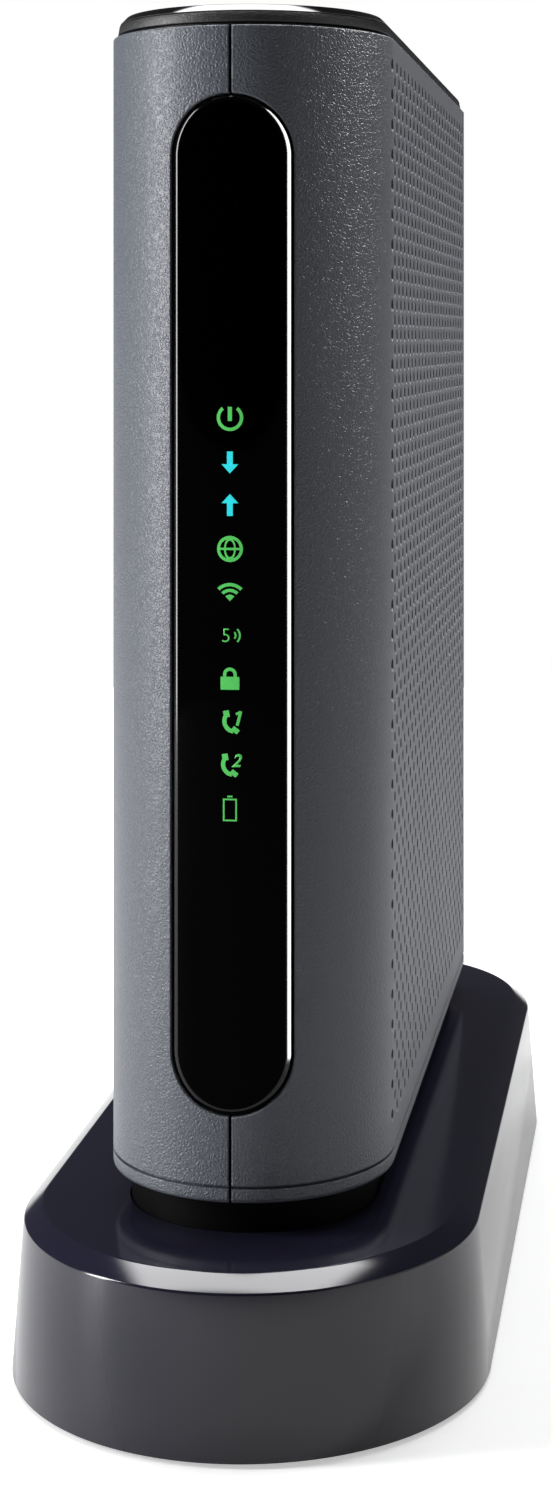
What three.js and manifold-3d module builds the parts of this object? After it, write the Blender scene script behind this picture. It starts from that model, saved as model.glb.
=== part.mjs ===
// A cable modem and Wi-Fi router that stands on edge in a wide foot.
// Millimetres, +Z up, front towards -Y. The origin is the middle of the foot's underside.
import * as THREE from 'three';
import { mergeVertices } from 'three/addons/utils/BufferGeometryUtils.js';
import Module from 'manifold-3d';

const wasm = await Module();
wasm.setup();

// ---- Driving dimensions -------------------------------------------------------------
const GAP = 0.3;                    // clearance between neighbouring pieces

const TOTAL_HEIGHT = 200;
const PAD_STEP = 0.6;               // how far the rubber feet lift the stand off the desk

const STAND_LENGTH = 210;
const STAND_WIDTH = 71;
const STAND_END_DEPTH = 40.7;       // how far the rounded ends reach along the stand
const STAND_EDGE_HEIGHT = 23;       // top of the leaning wall
const STAND_HEIGHT = 25.1;          // flat deck
const STAND_LEAN = 1.7;             // the wall leans in by this much
const STAND_BEVEL = 2.8;            // width of the bright bevel round the deck
const STAND_WALL = 2.5;
const BEVEL_LEDGE = 0.06;           // the bevel springs from a hair inside the wall's top edge

const BODY_WIDTH = 42;
const BODY_DEPTH = 162;
const BODY_FRONT = -86;             // y of the body's foremost line
const BODY_FOOT = 29.9;             // height of the body's lower lip
const BODY_TOP = 196.9;             // top edge of the grey shells
const NOSE_DEPTH = 23;              // depth of the half-elliptical front
const REAR_CORNER = 6;
const WALL = 2.2;
const SEAM = 0.44;                  // width of the joint line between the two shells
const GROOVE_LOW = 2.1;             // shadow groove above the lower lip
const GROOVE_HIGH = 2.5;
const GROOVE_DEPTH = 0.7;
const NECK_INSET = 2.8;

const LENS_HALF_WIDTH = 8.75;
const LENS_LOW = 12.4;
const LENS_HIGH = 157.2;
const LENS_THICKNESS = 1.1;
const LENS_SEAT_GAP = 0.2;          // play round the lens in its recess
const LENS_LEDGE = 1.5;             // width of the ledge that the lens is glued to
const LENS_CUT_DEPTH = 9;           // reach of the cutters that open the nose
const ICON_COUNT = 10;
const ICON_PITCH = 6.12;
const ICON_LOWEST = 56.25;

const BOARD_X = -7.8;               // outer face of the main board
const BOARD_THICKNESS = 1.6;
const BOARD_FACE = BOARD_X + BOARD_THICKNESS;
const BOARD_FRONT = 18;
const BOARD_REAR = 156;               // stays clear of the pairing button when it is pressed
const BOARD_LOW = 8;
const BOARD_HIGH = 156.5;

const BOSS_RADIUS = 3;              // screw bosses on the shell and the floor
const PILOT_RADIUS = 1.2;           // hole that a screw cuts its thread in
const CLEARANCE_RADIUS = 1.8;       // hole that a screw passes through

const PANEL_FACE = BODY_DEPTH - 1;  // outer face of the rear panel
const PANEL_THICKNESS = 2;
const PANEL_HALF_WIDTH = 15;
const PANEL_LOW = 4.6;
const PANEL_HIGH = 163;

const BODY_HEIGHT = BODY_TOP - BODY_FOOT;
const LID_TOP = TOTAL_HEIGHT - BODY_FOOT;
const MIDDLE_SEGMENTS = 12;

// ---- Helpers ------------------------------------------------------------------------
function solid(geometry) {
  const bare = geometry.index ? geometry.toNonIndexed() : geometry.clone();
  bare.deleteAttribute('normal');
  bare.deleteAttribute('uv');
  const merged = mergeVertices(bare, 1e-4);
  return new wasm.Manifold(new wasm.Mesh({
    numProp: 3,
    vertProperties: new Float32Array(merged.attributes.position.array),
    triVerts: new Uint32Array(merged.index.array),
  }));
}

function geometryOf(manifold) {
  const mesh = manifold.getMesh();
  const geometry = new THREE.BufferGeometry();
  geometry.setAttribute('position', new THREE.BufferAttribute(new Float32Array(mesh.vertProperties), 3));
  geometry.setIndex(new THREE.BufferAttribute(new Uint32Array(mesh.triVerts), 1));
  geometry.computeVertexNormals();
  return geometry;
}

// A box from its low corner to its high corner.
function box(low, high) {
  const size = high.map((value, axis) => value - low[axis]);
  const geometry = new THREE.BoxGeometry(...size);
  geometry.translate(...low.map((value, axis) => value + size[axis] / 2));
  return solid(geometry);
}

// An upright prism of a plan outline.
function prism(shape, low, high) {
  const geometry = new THREE.ExtrudeGeometry(shape, {
    depth: high - low, bevelEnabled: false, curveSegments: MIDDLE_SEGMENTS,
  });
  geometry.translate(0, 0, low);
  return solid(geometry);
}

// A prism whose outline shrinks evenly from its foot to its top; shape is the top outline.
function leaningPrism(shape, low, high, lean) {
  const height = high - low;
  const geometry = new THREE.ExtrudeGeometry(shape, {
    depth: 1, bevelEnabled: true, bevelSegments: 1, bevelThickness: height, bevelSize: lean,
    curveSegments: MIDDLE_SEGMENTS,
  });
  geometry.translate(0, 0, low - 1);
  return solid(geometry).trimByPlane([0, 0, 1], low);
}

// A prism of an outline in the XZ plane, running from y = near to y = far.
function deepPrism(shape, near, far) {
  const geometry = new THREE.ExtrudeGeometry(shape, {
    depth: far - near, bevelEnabled: false, curveSegments: MIDDLE_SEGMENTS,
  });
  geometry.rotateX(Math.PI / 2);
  geometry.translate(0, far, 0);
  return solid(geometry);
}

function rod(radius, axis, from, to, centre, sides = 20) {
  const geometry = new THREE.CylinderGeometry(radius, radius, to - from, sides);
  const middle = (from + to) / 2;
  if (axis === 'x') {
    geometry.rotateZ(Math.PI / 2);
    geometry.translate(middle, centre[0], centre[1]);
  } else if (axis === 'y') {
    geometry.translate(centre[0], middle, centre[1]);
  } else {
    geometry.rotateX(Math.PI / 2);
    geometry.translate(centre[0], centre[1], middle);
  }
  return solid(geometry);
}

// Turned solid about +Y: points are [radius, y].
function turned(points, sides = 20) {
  const profile = points.map(([radius, along]) => new THREE.Vector2(radius, along));
  return solid(new THREE.LatheGeometry(profile, sides));
}

function finish(color, roughness, metalness = 0) {
  return { color, roughness, metalness };
}

function piece(parent, name, manifold, look, position = [0, 0, 0]) {
  const mesh = new THREE.Mesh(geometryOf(manifold), new THREE.MeshStandardMaterial(look));
  mesh.name = name;
  mesh.position.set(...position);
  parent.add(mesh);
  return mesh;
}

// ---- Finishes -----------------------------------------------------------------------
const GREY_PLASTIC = finish(0x5d6167, 0.55);
const BLACK_PLASTIC = finish(0x17181a, 0.5);
const GLOSS_BLACK = finish(0x050506, 0.08);
const STAND_BLACK = finish(0x2b2c31, 0.22);
const WHITE_PLASTIC = finish(0xe8e8e4, 0.5);
const CLEAR_PLASTIC = finish(0xd8e4dc, 0.2);
const SMOKED_FILM = finish(0x101214, 0.35);
const BOARD_GREEN = finish(0x1f5a38, 0.45);
const TIN = finish(0xb9bbbd, 0.35, 1);
const ALUMINIUM = finish(0xa9abae, 0.4, 1);
const NICKEL = finish(0xc6c3ba, 0.25, 1);
const STEEL = finish(0x8a8c8f, 0.35, 1);
const RUBBER = finish(0x141414, 0.9);
const THERMAL_PINK = finish(0xa38f98, 0.8);
const BATTERY_BLUE = finish(0x26406b, 0.45);
const CABLE_GREY = finish(0x4a4b4d, 0.5);
const JACK_BLACK = finish(0x1c1c1d, 0.4);

// ---- Outlines -----------------------------------------------------------------------
// The body seen from above: half-elliptical nose, straight flanks, small rear corners.
function bodyOutline(inset) {
  const half = BODY_WIDTH / 2 - inset;
  const cornerX = BODY_WIDTH / 2 - REAR_CORNER;
  const cornerY = BODY_DEPTH - REAR_CORNER;
  const radius = REAR_CORNER - inset;
  const shape = new THREE.Shape();
  shape.moveTo(half, NOSE_DEPTH);
  shape.lineTo(half, cornerY);
  shape.absarc(cornerX, cornerY, radius, 0, Math.PI / 2);
  shape.lineTo(-cornerX, cornerY + radius);
  shape.absarc(-cornerX, cornerY, radius, Math.PI / 2, Math.PI);
  shape.lineTo(-half, NOSE_DEPTH);
  shape.absellipse(0, NOSE_DEPTH, half, NOSE_DEPTH - inset, Math.PI, Math.PI * 2);
  return shape;
}

// The stand seen from above, at its floor outline less an inset.
function standOutline(inset) {
  const half = STAND_WIDTH / 2 - inset;
  const end = STAND_END_DEPTH - inset;
  const straight = STAND_LENGTH / 2 - STAND_END_DEPTH;
  const shape = new THREE.Shape();
  shape.moveTo(half, -straight);
  shape.lineTo(half, straight);
  shape.absellipse(0, straight, half, end, 0, Math.PI);
  shape.lineTo(-half, -straight);
  shape.absellipse(0, -straight, half, end, Math.PI, Math.PI * 2);
  return shape;
}

// An upright slot with round ends, drawn in the XZ plane.
function stadium(halfWidth, low, high) {
  const shape = new THREE.Shape();
  shape.moveTo(halfWidth, low + halfWidth);
  shape.lineTo(halfWidth, high - halfWidth);
  shape.absarc(0, high - halfWidth, halfWidth, 0, Math.PI);
  shape.lineTo(-halfWidth, low + halfWidth);
  shape.absarc(0, low + halfWidth, halfWidth, Math.PI, Math.PI * 2);
  return shape;
}

// The display lens seen from the front, grown by a margin.
function lensOutline(margin) {
  return stadium(LENS_HALF_WIDTH + margin, LENS_LOW - margin, LENS_HIGH + margin);
}

// ---- Rear connectors: place of each on the panel ------------------------------------
const SWITCH_Z = 148.5;
const PAIR_BUTTON = { x: -3.6, z: 135.5, halfWidth: 4.2, halfHeight: 2.6 };
const RESET_BUTTON = { x: -3.6, z: 128.6, radius: 1.0 };
const PHONE_JACKS = [118.4, 104.4];
const LAN_JACKS = [88.4, 72.1, 55.8, 39.5];
const COAX = { x: -0.6, z: 24.5 };
const INLET = { x: -1.3, z: 11.6 };
const PANEL_SCREWS = [[0, 160], [11, 8.6]];

// Jacks: block size, size of the mouth, reach and height of the latch notch, and depth of the mouth.
const LAN = { width: 13.5, depth: 20.6, height: 15.8, mouth: [8.6, 11.9], notch: [2.2, 6], cavity: 14.5 };
const PHONE = { width: 13.2, depth: 18, height: 13.4, mouth: [7.4, 9.9], notch: [2, 4.6], cavity: 12 };
const SWITCH = { width: 11.6, height: 13.2, bezel: 1.2, cavityWidth: 9, cavityHeight: 11.6 };
const PIVOT_Y = -2.4;                 // rocker's axle, measured from the panel's face
const THREAD_RADIUS = 4.7;
const THREAD_LENGTH = 10.4;
const INLET_RADIUS = 4;

// ---- Groups -------------------------------------------------------------------------
const modem = new THREE.Group();
const body = new THREE.Group();
body.position.set(0, BODY_FRONT, BODY_FOOT);
modem.add(body);
const rear = new THREE.Group();
rear.position.set(0, PANEL_FACE, 0);
body.add(rear);

// ---- Body: two shells ---------------------------------------------------------------
const BOARD_SCREWS = [[26, 16], [26, 150], [138, 140], [104, 16]];

function shellWall() {
  const groove = prism(bodyOutline(-1), GROOVE_LOW, GROOVE_HIGH)
    .subtract(prism(bodyOutline(GROOVE_DEPTH), GROOVE_LOW - 1, GROOVE_HIGH + 1));
  const lensSeat = deepPrism(lensOutline(LENS_SEAT_GAP), -1, LENS_CUT_DEPTH)
    .subtract(prism(bodyOutline(LENS_THICKNESS + GAP), 0, BODY_HEIGHT));
  const lensWindow = deepPrism(lensOutline(-LENS_LEDGE), -1, LENS_CUT_DEPTH);
  const panelWindow = box(
    [-PANEL_HALF_WIDTH - GAP, BODY_DEPTH - REAR_CORNER, PANEL_LOW - GAP],
    [PANEL_HALF_WIDTH + GAP, BODY_DEPTH + 1, PANEL_HIGH + GAP],
  );
  return prism(bodyOutline(0), 0, BODY_HEIGHT)
    .subtract(prism(bodyOutline(WALL), -1, BODY_HEIGHT + 1))
    .subtract(groove)
    .subtract(lensSeat)
    .subtract(lensWindow)
    .subtract(panelWindow);
}

function shellHalf(side) {
  const inner = side * SEAM / 2;
  const outer = side * BODY_WIDTH;
  const low = [Math.min(inner, outer), -5, -1];
  const high = [Math.max(inner, outer), BODY_DEPTH + 5, BODY_HEIGHT + 1];
  return shellWall().intersect(box(low, high));
}

// A block inside a shell's wall that a panel screw bites into, with its pilot hole.
const BLOCK_FRONT = 148;
const BLOCK_REAR = 158;
const BLOCK_HALF_HEIGHT = 2.6;
function withScrewBlock(shell, xLow, xHigh, screwPlace) {
  const z = screwPlace[1];
  return shell
    .add(box([xLow, BLOCK_FRONT, z - BLOCK_HALF_HEIGHT], [xHigh, BLOCK_REAR, z + BLOCK_HALF_HEIGHT]))
    .subtract(rod(PILOT_RADIUS, 'y', BLOCK_FRONT + 2, BODY_DEPTH + 8, screwPlace, 12));
}

const WALL_MIDDLE = BODY_WIDTH / 2 - 1;
let leftShell = shellHalf(-1);
for (const place of BOARD_SCREWS) {
  leftShell = leftShell
    .add(rod(BOSS_RADIUS, 'x', -WALL_MIDDLE, BOARD_X - GAP, place, 16))
    .subtract(rod(PILOT_RADIUS, 'x', -15, 0, place, 12));
}
piece(body, 'left_shell', withScrewBlock(leftShell, -WALL_MIDDLE, 3.2, PANEL_SCREWS[0]), GREY_PLASTIC);

const rightShell = withScrewBlock(shellHalf(1), 7.8, WALL_MIDDLE, PANEL_SCREWS[1]);
piece(body, 'right_shell', rightShell, GREY_PLASTIC);

// ---- Body: lid ----------------------------------------------------------------------
const LID_FOOT = BODY_HEIGHT + 0.5;
const LID_SHOULDER = LID_TOP - 1;
const lidBand = leaningPrism(bodyOutline(0.95), LID_FOOT, LID_SHOULDER - 0.15, 0.25);
const lidSkirt = prism(bodyOutline(WALL + GAP), LID_FOOT - 3.4, LID_FOOT + 0.2)
  .subtract(prism(bodyOutline(WALL + 1.8), LID_FOOT - 4, LID_FOOT));
piece(body, 'top_lid', lidBand.add(lidSkirt), BLACK_PLASTIC);
piece(body, 'lid_gloss_plate', leaningPrism(bodyOutline(2), LID_SHOULDER, LID_TOP, 1), GLOSS_BLACK);

// ---- Body: floor plate, which takes the stand's screws ------------------------------
const FLOOR_LOW = 0.6;
const STAND_SCREWS = [20, 84, 140];
let floorPlate = prism(bodyOutline(WALL + GAP), FLOOR_LOW, FLOOR_LOW + 2.2);
for (const y of STAND_SCREWS) {
  floorPlate = floorPlate
    .add(rod(BOSS_RADIUS, 'z', FLOOR_LOW, FLOOR_LOW + 5, [0, y], 16))
    .subtract(rod(1.3, 'z', FLOOR_LOW - 1, FLOOR_LOW + 4, [0, y], 12));
}
floorPlate = floorPlate.subtract(box([5, 144, FLOOR_LOW - 1], [BODY_WIDTH, 159, 7]));
piece(body, 'body_floor', floorPlate, BLACK_PLASTIC);

// ---- Front display ------------------------------------------------------------------
function frontSkin(halfWidth, low, high, outerInset, innerInset) {
  return deepPrism(stadium(halfWidth, low, high), -1, LENS_CUT_DEPTH)
    .intersect(prism(bodyOutline(outerInset), 0, BODY_HEIGHT))
    .subtract(prism(bodyOutline(innerInset), -1, BODY_HEIGHT + 1));
}
const lens = frontSkin(LENS_HALF_WIDTH, LENS_LOW, LENS_HIGH, 0, LENS_THICKNESS);
piece(body, 'display_lens', lens, GLOSS_BLACK);
piece(body, 'icon_film', frontSkin(7, 40, 125, 1.45, 1.8), SMOKED_FILM);

const BAFFLE_LOW = ICON_LOWEST - 4.6;
const BAFFLE_HIGH = ICON_LOWEST + ICON_PITCH * (ICON_COUNT - 1) + 4.6;
let baffle = box([-6, 4.5, BAFFLE_LOW], [6, 9, BAFFLE_HIGH]);
let lightPipes = box([-4.6, 9.3, BAFFLE_LOW], [4.6, 10.5, BAFFLE_HIGH]);
let ledBoard = box([-6, 12.2, BAFFLE_LOW - 4], [6, 13.2, BAFFLE_HIGH + 4]);
for (let index = 0; index < ICON_COUNT; index += 1) {
  const z = ICON_LOWEST + ICON_PITCH * index;
  baffle = baffle.subtract(box([-4.6, 4, z - 2.5], [4.6, 10, z + 2.5]));
  lightPipes = lightPipes.add(box([-3.6, 4.8, z - 1.9], [3.6, 9.5, z + 1.9]));
  ledBoard = ledBoard.add(box([-1.4, 11.4, z - 1.4], [1.4, 12.4, z + 1.4]));
}
piece(body, 'light_baffle', baffle, WHITE_PLASTIC);
piece(body, 'light_pipes', lightPipes, CLEAR_PLASTIC);
piece(body, 'led_board', ledBoard, BOARD_GREEN);

// ---- Main board and what it carries -------------------------------------------------
const CHIPS = [
  [[92, 110], [120, 138]], [[60, 72], [112, 130]], [[44, 52], [60, 74]], [[118, 126], [44, 58]],
];
let mainBoard = box([BOARD_X, BOARD_FRONT, BOARD_LOW], [BOARD_FACE, BOARD_REAR, BOARD_HIGH]);
for (const [[yLow, yHigh], [zLow, zHigh]] of CHIPS) {
  mainBoard = mainBoard.add(box([BOARD_FACE - 0.5, yLow, zLow], [BOARD_FACE + 1.2, yHigh, zHigh]));
}
for (const [y, z] of BOARD_SCREWS) {
  mainBoard = mainBoard.subtract(rod(CLEARANCE_RADIUS, 'x', BOARD_X - 1, BOARD_FACE + 1, [y, z], 12));
}
piece(body, 'main_board', mainBoard, BOARD_GREEN);

// An upturned tray of sheet metal that sits over a patch of the board.
function shieldCan(yLow, yHigh, zLow, zHigh, rise) {
  const foot = BOARD_FACE + GAP;
  return box([foot, yLow, zLow], [foot + rise, yHigh, zHigh])
    .subtract(box([foot - 1, yLow + 0.6, zLow + 0.6], [foot + rise - 0.6, yHigh - 0.6, zHigh - 0.6]));
}
piece(body, 'radio_shield', shieldCan(32, 58, 84, 108, 3.4), TIN);
piece(body, 'tuner_shield', shieldCan(118, 154, 17.5, 31, 11), TIN);

const SINK = { y: [64, 112], z: [78, 144], x: BOARD_FACE + 2.4, base: 2, fin: 14, finThickness: 1.4 };
let heatSink = box([SINK.x, SINK.y[0], SINK.z[0]], [SINK.x + SINK.base, SINK.y[1], SINK.z[1]]);
const FIN_COUNT = 9;
for (let index = 0; index < FIN_COUNT; index += 1) {
  const y = SINK.y[0] + index * (SINK.y[1] - SINK.y[0] - SINK.finThickness) / (FIN_COUNT - 1);
  const finTip = SINK.x + SINK.base + SINK.fin;
  heatSink = heatSink.add(box([SINK.x + 1, y, SINK.z[0]], [finTip, y + SINK.finThickness, SINK.z[1]]));
}
piece(body, 'heat_sink', heatSink, ALUMINIUM);
piece(body, 'thermal_pad', box([BOARD_FACE + 1.35, 93, 121], [SINK.x - 0.15, 109, 137]), THERMAL_PINK);
piece(body, 'backup_battery', box([-18.2, 34, 24], [-8.9, 98, 72]), BATTERY_BLUE);

// ---- Aerials on the right shell, and their leads ------------------------------------
const AERIALS = [
  { name: 'front_aerial', yLow: 32, yHigh: 60, zLow: 140, zHigh: 154 },
  { name: 'rear_aerial', yLow: 118, yHigh: 146, zLow: 140, zHigh: 154 },
  { name: 'lower_aerial', yLow: 46, yHigh: 84, zLow: 16, zHigh: 27 },
];
const AERIAL_X = BODY_WIDTH / 2 - WALL - GAP;
for (const { name, yLow, yHigh, zLow, zHigh } of AERIALS) {
  piece(body, name, box([AERIAL_X - 0.9, yLow, zLow], [AERIAL_X, yHigh, zHigh]), BOARD_GREEN);
}
const LEAD_RADIUS = 0.65;
const LEAD_SECTION = new THREE.Shape().absarc(0, 0, LEAD_RADIUS, 0, Math.PI * 2);
function aerialLead(points, steps) {
  const route = new THREE.CatmullRomCurve3(points.map((point) => new THREE.Vector3(...point)));
  return solid(new THREE.ExtrudeGeometry(LEAD_SECTION, {
    extrudePath: route, steps, bevelEnabled: false, curveSegments: 4,
  }));
}
const LEAD_PLUG_X = BOARD_FACE + 4.9;
piece(body, 'front_aerial_lead', aerialLead([
  [LEAD_PLUG_X, 40, 100], [4, 41, 106], [11, 43, 118], [15, 45, 132], [16, 46, 146],
], 26), CABLE_GREY);
piece(body, 'lower_aerial_lead', aerialLead([
  [LEAD_PLUG_X, 44, 90], [6, 46, 78], [12, 50, 58], [15.5, 56, 38], [16, 60, 22],
], 28), CABLE_GREY);

// ---- Rear panel ---------------------------------------------------------------------
let panel = box(
  [-PANEL_HALF_WIDTH, PANEL_FACE - PANEL_THICKNESS, PANEL_LOW],
  [PANEL_HALF_WIDTH, PANEL_FACE, PANEL_HIGH],
);
function cutPanel(low, high) {
  panel = panel.subtract(box([low[0], PANEL_FACE - 5, low[1]], [high[0], PANEL_FACE + 1, high[1]]));
}
function cutPanelRound(radius, { x, z }) {
  panel = panel.subtract(rod(radius, 'y', PANEL_FACE - 5, PANEL_FACE + 1, [x, z]));
}
function jackCentreX(jack) {
  return BOARD_FACE + GAP + jack.width / 2;
}
for (const [places, jack] of [[LAN_JACKS, LAN], [PHONE_JACKS, PHONE]]) {
  const middle = jackCentreX(jack);
  const half = jack.width / 2 + GAP;
  cutPanel([middle - half, Math.min(...places) - jack.height / 2 - GAP],
    [middle + half, Math.max(...places) + jack.height / 2 + GAP]);
}
cutPanel([-SWITCH.width / 2 - GAP, SWITCH_Z - SWITCH.height / 2 - GAP],
  [SWITCH.width / 2 + GAP, SWITCH_Z + SWITCH.height / 2 + GAP]);
cutPanel([PAIR_BUTTON.x - PAIR_BUTTON.halfWidth - GAP, PAIR_BUTTON.z - PAIR_BUTTON.halfHeight - GAP],
  [PAIR_BUTTON.x + PAIR_BUTTON.halfWidth + GAP, PAIR_BUTTON.z + PAIR_BUTTON.halfHeight + GAP]);
cutPanelRound(RESET_BUTTON.radius + 0.4, RESET_BUTTON);
cutPanelRound(THREAD_RADIUS + 0.4, COAX);
cutPanelRound(INLET_RADIUS + GAP, INLET);
for (const [x, z] of PANEL_SCREWS) {
  cutPanelRound(CLEARANCE_RADIUS, { x, z });
}
piece(body, 'rear_panel', panel, BLACK_PLASTIC);

// ---- Rear connectors ----------------------------------------------------------------
// A modular jack: its mouth is centred on the origin and opens towards +Y.
function modularJack({ width, depth, height, mouth, notch, cavity }) {
  const face = 0.2;
  return box([-width / 2, face - depth, -height / 2], [width / 2, face, height / 2])
    .subtract(box([-mouth[0] / 2, face - cavity, -mouth[1] / 2], [mouth[0] / 2, face + 1, mouth[1] / 2]))
    .subtract(box([mouth[0] / 2 - 1, face - cavity, -notch[1] / 2],
      [mouth[0] / 2 + notch[0] - 0.5, face + 1, notch[1] / 2]));
}
PHONE_JACKS.forEach((z, index) => {
  piece(rear, `phone_jack_${index + 1}`, modularJack(PHONE), JACK_BLACK, [jackCentreX(PHONE), 0, z]);
});
LAN_JACKS.forEach((z, index) => {
  piece(rear, `lan_jack_${index + 1}`, modularJack(LAN), JACK_BLACK, [jackCentreX(LAN), 0, z]);
});

// Threaded coaxial socket: thread crests along +Y, from behind the panel to its mouth.
const THREAD_PITCH = 1.5;
const THREAD_DEPTH = 0.55;
const SOCKET_BORE = 1.2;
const threadPoints = [[0, -3.4], [THREAD_RADIUS, -3.4], [THREAD_RADIUS, 3]];
for (let along = 3.6; along < THREAD_LENGTH - 1; along += THREAD_PITCH) {
  threadPoints.push([THREAD_RADIUS - THREAD_DEPTH, along], [THREAD_RADIUS, along + THREAD_PITCH / 2]);
}
threadPoints.push([THREAD_RADIUS - 0.7, THREAD_LENGTH], [SOCKET_BORE, THREAD_LENGTH]);
threadPoints.push([SOCKET_BORE, THREAD_LENGTH - 5], [0, THREAD_LENGTH - 5]);
piece(rear, 'coax_socket', turned(threadPoints), NICKEL, [COAX.x, 0, COAX.z]);
const hexNut = rod(6.4, 'y', 0, 2.2, [0, 0], 6).subtract(rod(THREAD_RADIUS + GAP, 'y', -1, 4, [0, 0]));
piece(rear, 'coax_nut', hexNut, NICKEL, [COAX.x, GAP, COAX.z]);

// Round power inlet with its centre pin.
const inlet = box([-4.6, -14, -4.6], [4.6, -2.6, 4.6])
  .add(rod(INLET_RADIUS, 'y', -3, 0.3, [0, 0]))
  .subtract(rod(3.1, 'y', -9, 1, [0, 0]))
  .add(rod(1, 'y', -9.5, -1, [0, 0], 12));
piece(rear, 'power_inlet', inlet, JACK_BLACK, [INLET.x, 0, INLET.z]);

// ---- Power switch: fixed housing and rocker -----------------------------------------
// A box centred on the switch's axis in X and Z, from y = near to y = far.
function switchBox(width, height, near, far) {
  return box([-width / 2, near, -height / 2], [width / 2, far, height / 2]);
}
const BEZEL_MARGIN = 2.8;
const switchHousing = switchBox(SWITCH.width, SWITCH.height, -13, 0.5)
  .add(switchBox(SWITCH.width + BEZEL_MARGIN, SWITCH.height + BEZEL_MARGIN, GAP, SWITCH.bezel))
  .subtract(switchBox(SWITCH.cavityWidth, SWITCH.cavityHeight, -9, 2))
  .subtract(rod(1.3, 'x', -10, 10, [PIVOT_Y, 0], 16));
piece(rear, 'switch_housing', switchHousing, JACK_BLACK, [0, 0, SWITCH_Z]);

// The rocker is drawn level about its pivot, and stands tilted to its upper side.
const ROCKER_TILT = THREE.MathUtils.degToRad(10);
const rockerProfile = new THREE.Shape();
rockerProfile.moveTo(-2.6, -4.2);
rockerProfile.lineTo(2.6, -4.2);
rockerProfile.lineTo(5.1, 0.9);
rockerProfile.lineTo(4.9, 4);
rockerProfile.lineTo(0, 3.1);
rockerProfile.lineTo(-4.9, 4);
rockerProfile.lineTo(-5.1, 0.9);
const ROCKER_HALF = SWITCH.cavityWidth / 2 - GAP;
const rockerBar = new THREE.ExtrudeGeometry(rockerProfile, { depth: ROCKER_HALF * 2, bevelEnabled: false });
rockerBar.translate(0, 0, -ROCKER_HALF);
rockerBar.applyMatrix4(new THREE.Matrix4().makeBasis(
  new THREE.Vector3(0, 0, 1), new THREE.Vector3(0, 1, 0), new THREE.Vector3(-1, 0, 0),
));
const rocker = solid(rockerBar).add(rod(1, 'x', -SWITCH.width / 2, SWITCH.width / 2, [0, 0], 16));
const rockerMesh = piece(rear, 'power_rocker', rocker, BLACK_PLASTIC, [0, PIVOT_Y, SWITCH_Z]);
rockerMesh.rotation.x = ROCKER_TILT;

// ---- Pairing button and reset button, with the switches they press ------------------
const SWITCH_TIP = -8.2;
function tactSwitch() {
  return box([-2.3, -15, -3], [2.3, -9.4, 3]).add(rod(1.1, 'y', -10, SWITCH_TIP, [0, 0], 12));
}
const pairButton = box(
  [-PAIR_BUTTON.halfWidth, -2.4, -PAIR_BUTTON.halfHeight],
  [PAIR_BUTTON.halfWidth, 0.9, PAIR_BUTTON.halfHeight],
)
  .add(box([-PAIR_BUTTON.halfWidth - 1, -4, -PAIR_BUTTON.halfHeight - 0.9],
    [PAIR_BUTTON.halfWidth + 1, -2.3, PAIR_BUTTON.halfHeight + 0.9]))
  .add(rod(1.4, 'y', SWITCH_TIP + 0.75, -3.5, [0, 0], 12));
piece(rear, 'pairing_button', pairButton, BLACK_PLASTIC, [PAIR_BUTTON.x, 0, PAIR_BUTTON.z]);
piece(rear, 'pairing_switch', tactSwitch(), JACK_BLACK, [PAIR_BUTTON.x, 0, PAIR_BUTTON.z]);

const resetButton = rod(RESET_BUTTON.radius, 'y', SWITCH_TIP + 0.75, -0.8, [0, 0], 12)
  .add(rod(1.8, 'y', -4.4, -3.4, [0, 0], 12));
piece(rear, 'reset_button', resetButton, BLACK_PLASTIC, [RESET_BUTTON.x, 0, RESET_BUTTON.z]);
piece(rear, 'reset_switch', tactSwitch(), JACK_BLACK, [RESET_BUTTON.x, 0, RESET_BUTTON.z]);

// ---- Stand --------------------------------------------------------------------------
const DECK = STAND_HEIGHT - STAND_WALL;
const deckBevel = leaningPrism(
  standOutline(STAND_LEAN + STAND_BEVEL), STAND_EDGE_HEIGHT, STAND_HEIGHT, STAND_BEVEL - BEVEL_LEDGE,
);
const neckAt = [0, BODY_FRONT, 0];
let stand = leaningPrism(standOutline(STAND_LEAN), PAD_STEP, STAND_EDGE_HEIGHT, STAND_LEAN)
  .add(deckBevel)
  .subtract(leaningPrism(standOutline(STAND_LEAN + STAND_WALL), PAD_STEP - 0.5, DECK - 2, STAND_LEAN))
  .subtract(prism(standOutline(STAND_LEAN + STAND_WALL + 2), DECK - 3, DECK))
  .subtract(prism(bodyOutline(NECK_INSET - GAP), DECK - 1, STAND_HEIGHT + 1).translate(neckAt));
const PLATE_SCREWS = [[-26.6, -60], [26.6, -60], [-26.6, 60], [26.6, 60]];
const PLATE_TOP = PAD_STEP + 2.6;
const PLATE_SCREW_HEAD = 2.8;
for (const [x, y] of PLATE_SCREWS) {
  stand = stand.add(rod(3.2, 'z', PLATE_TOP + GAP, DECK + 1, [x, y], 16));
}
for (const [x, y] of PLATE_SCREWS) {
  stand = stand.subtract(rod(PILOT_RADIUS, 'z', PLATE_TOP, PLATE_TOP + 9, [x, y], 12));
}
piece(modem, 'stand_shell', stand, STAND_BLACK);

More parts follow.
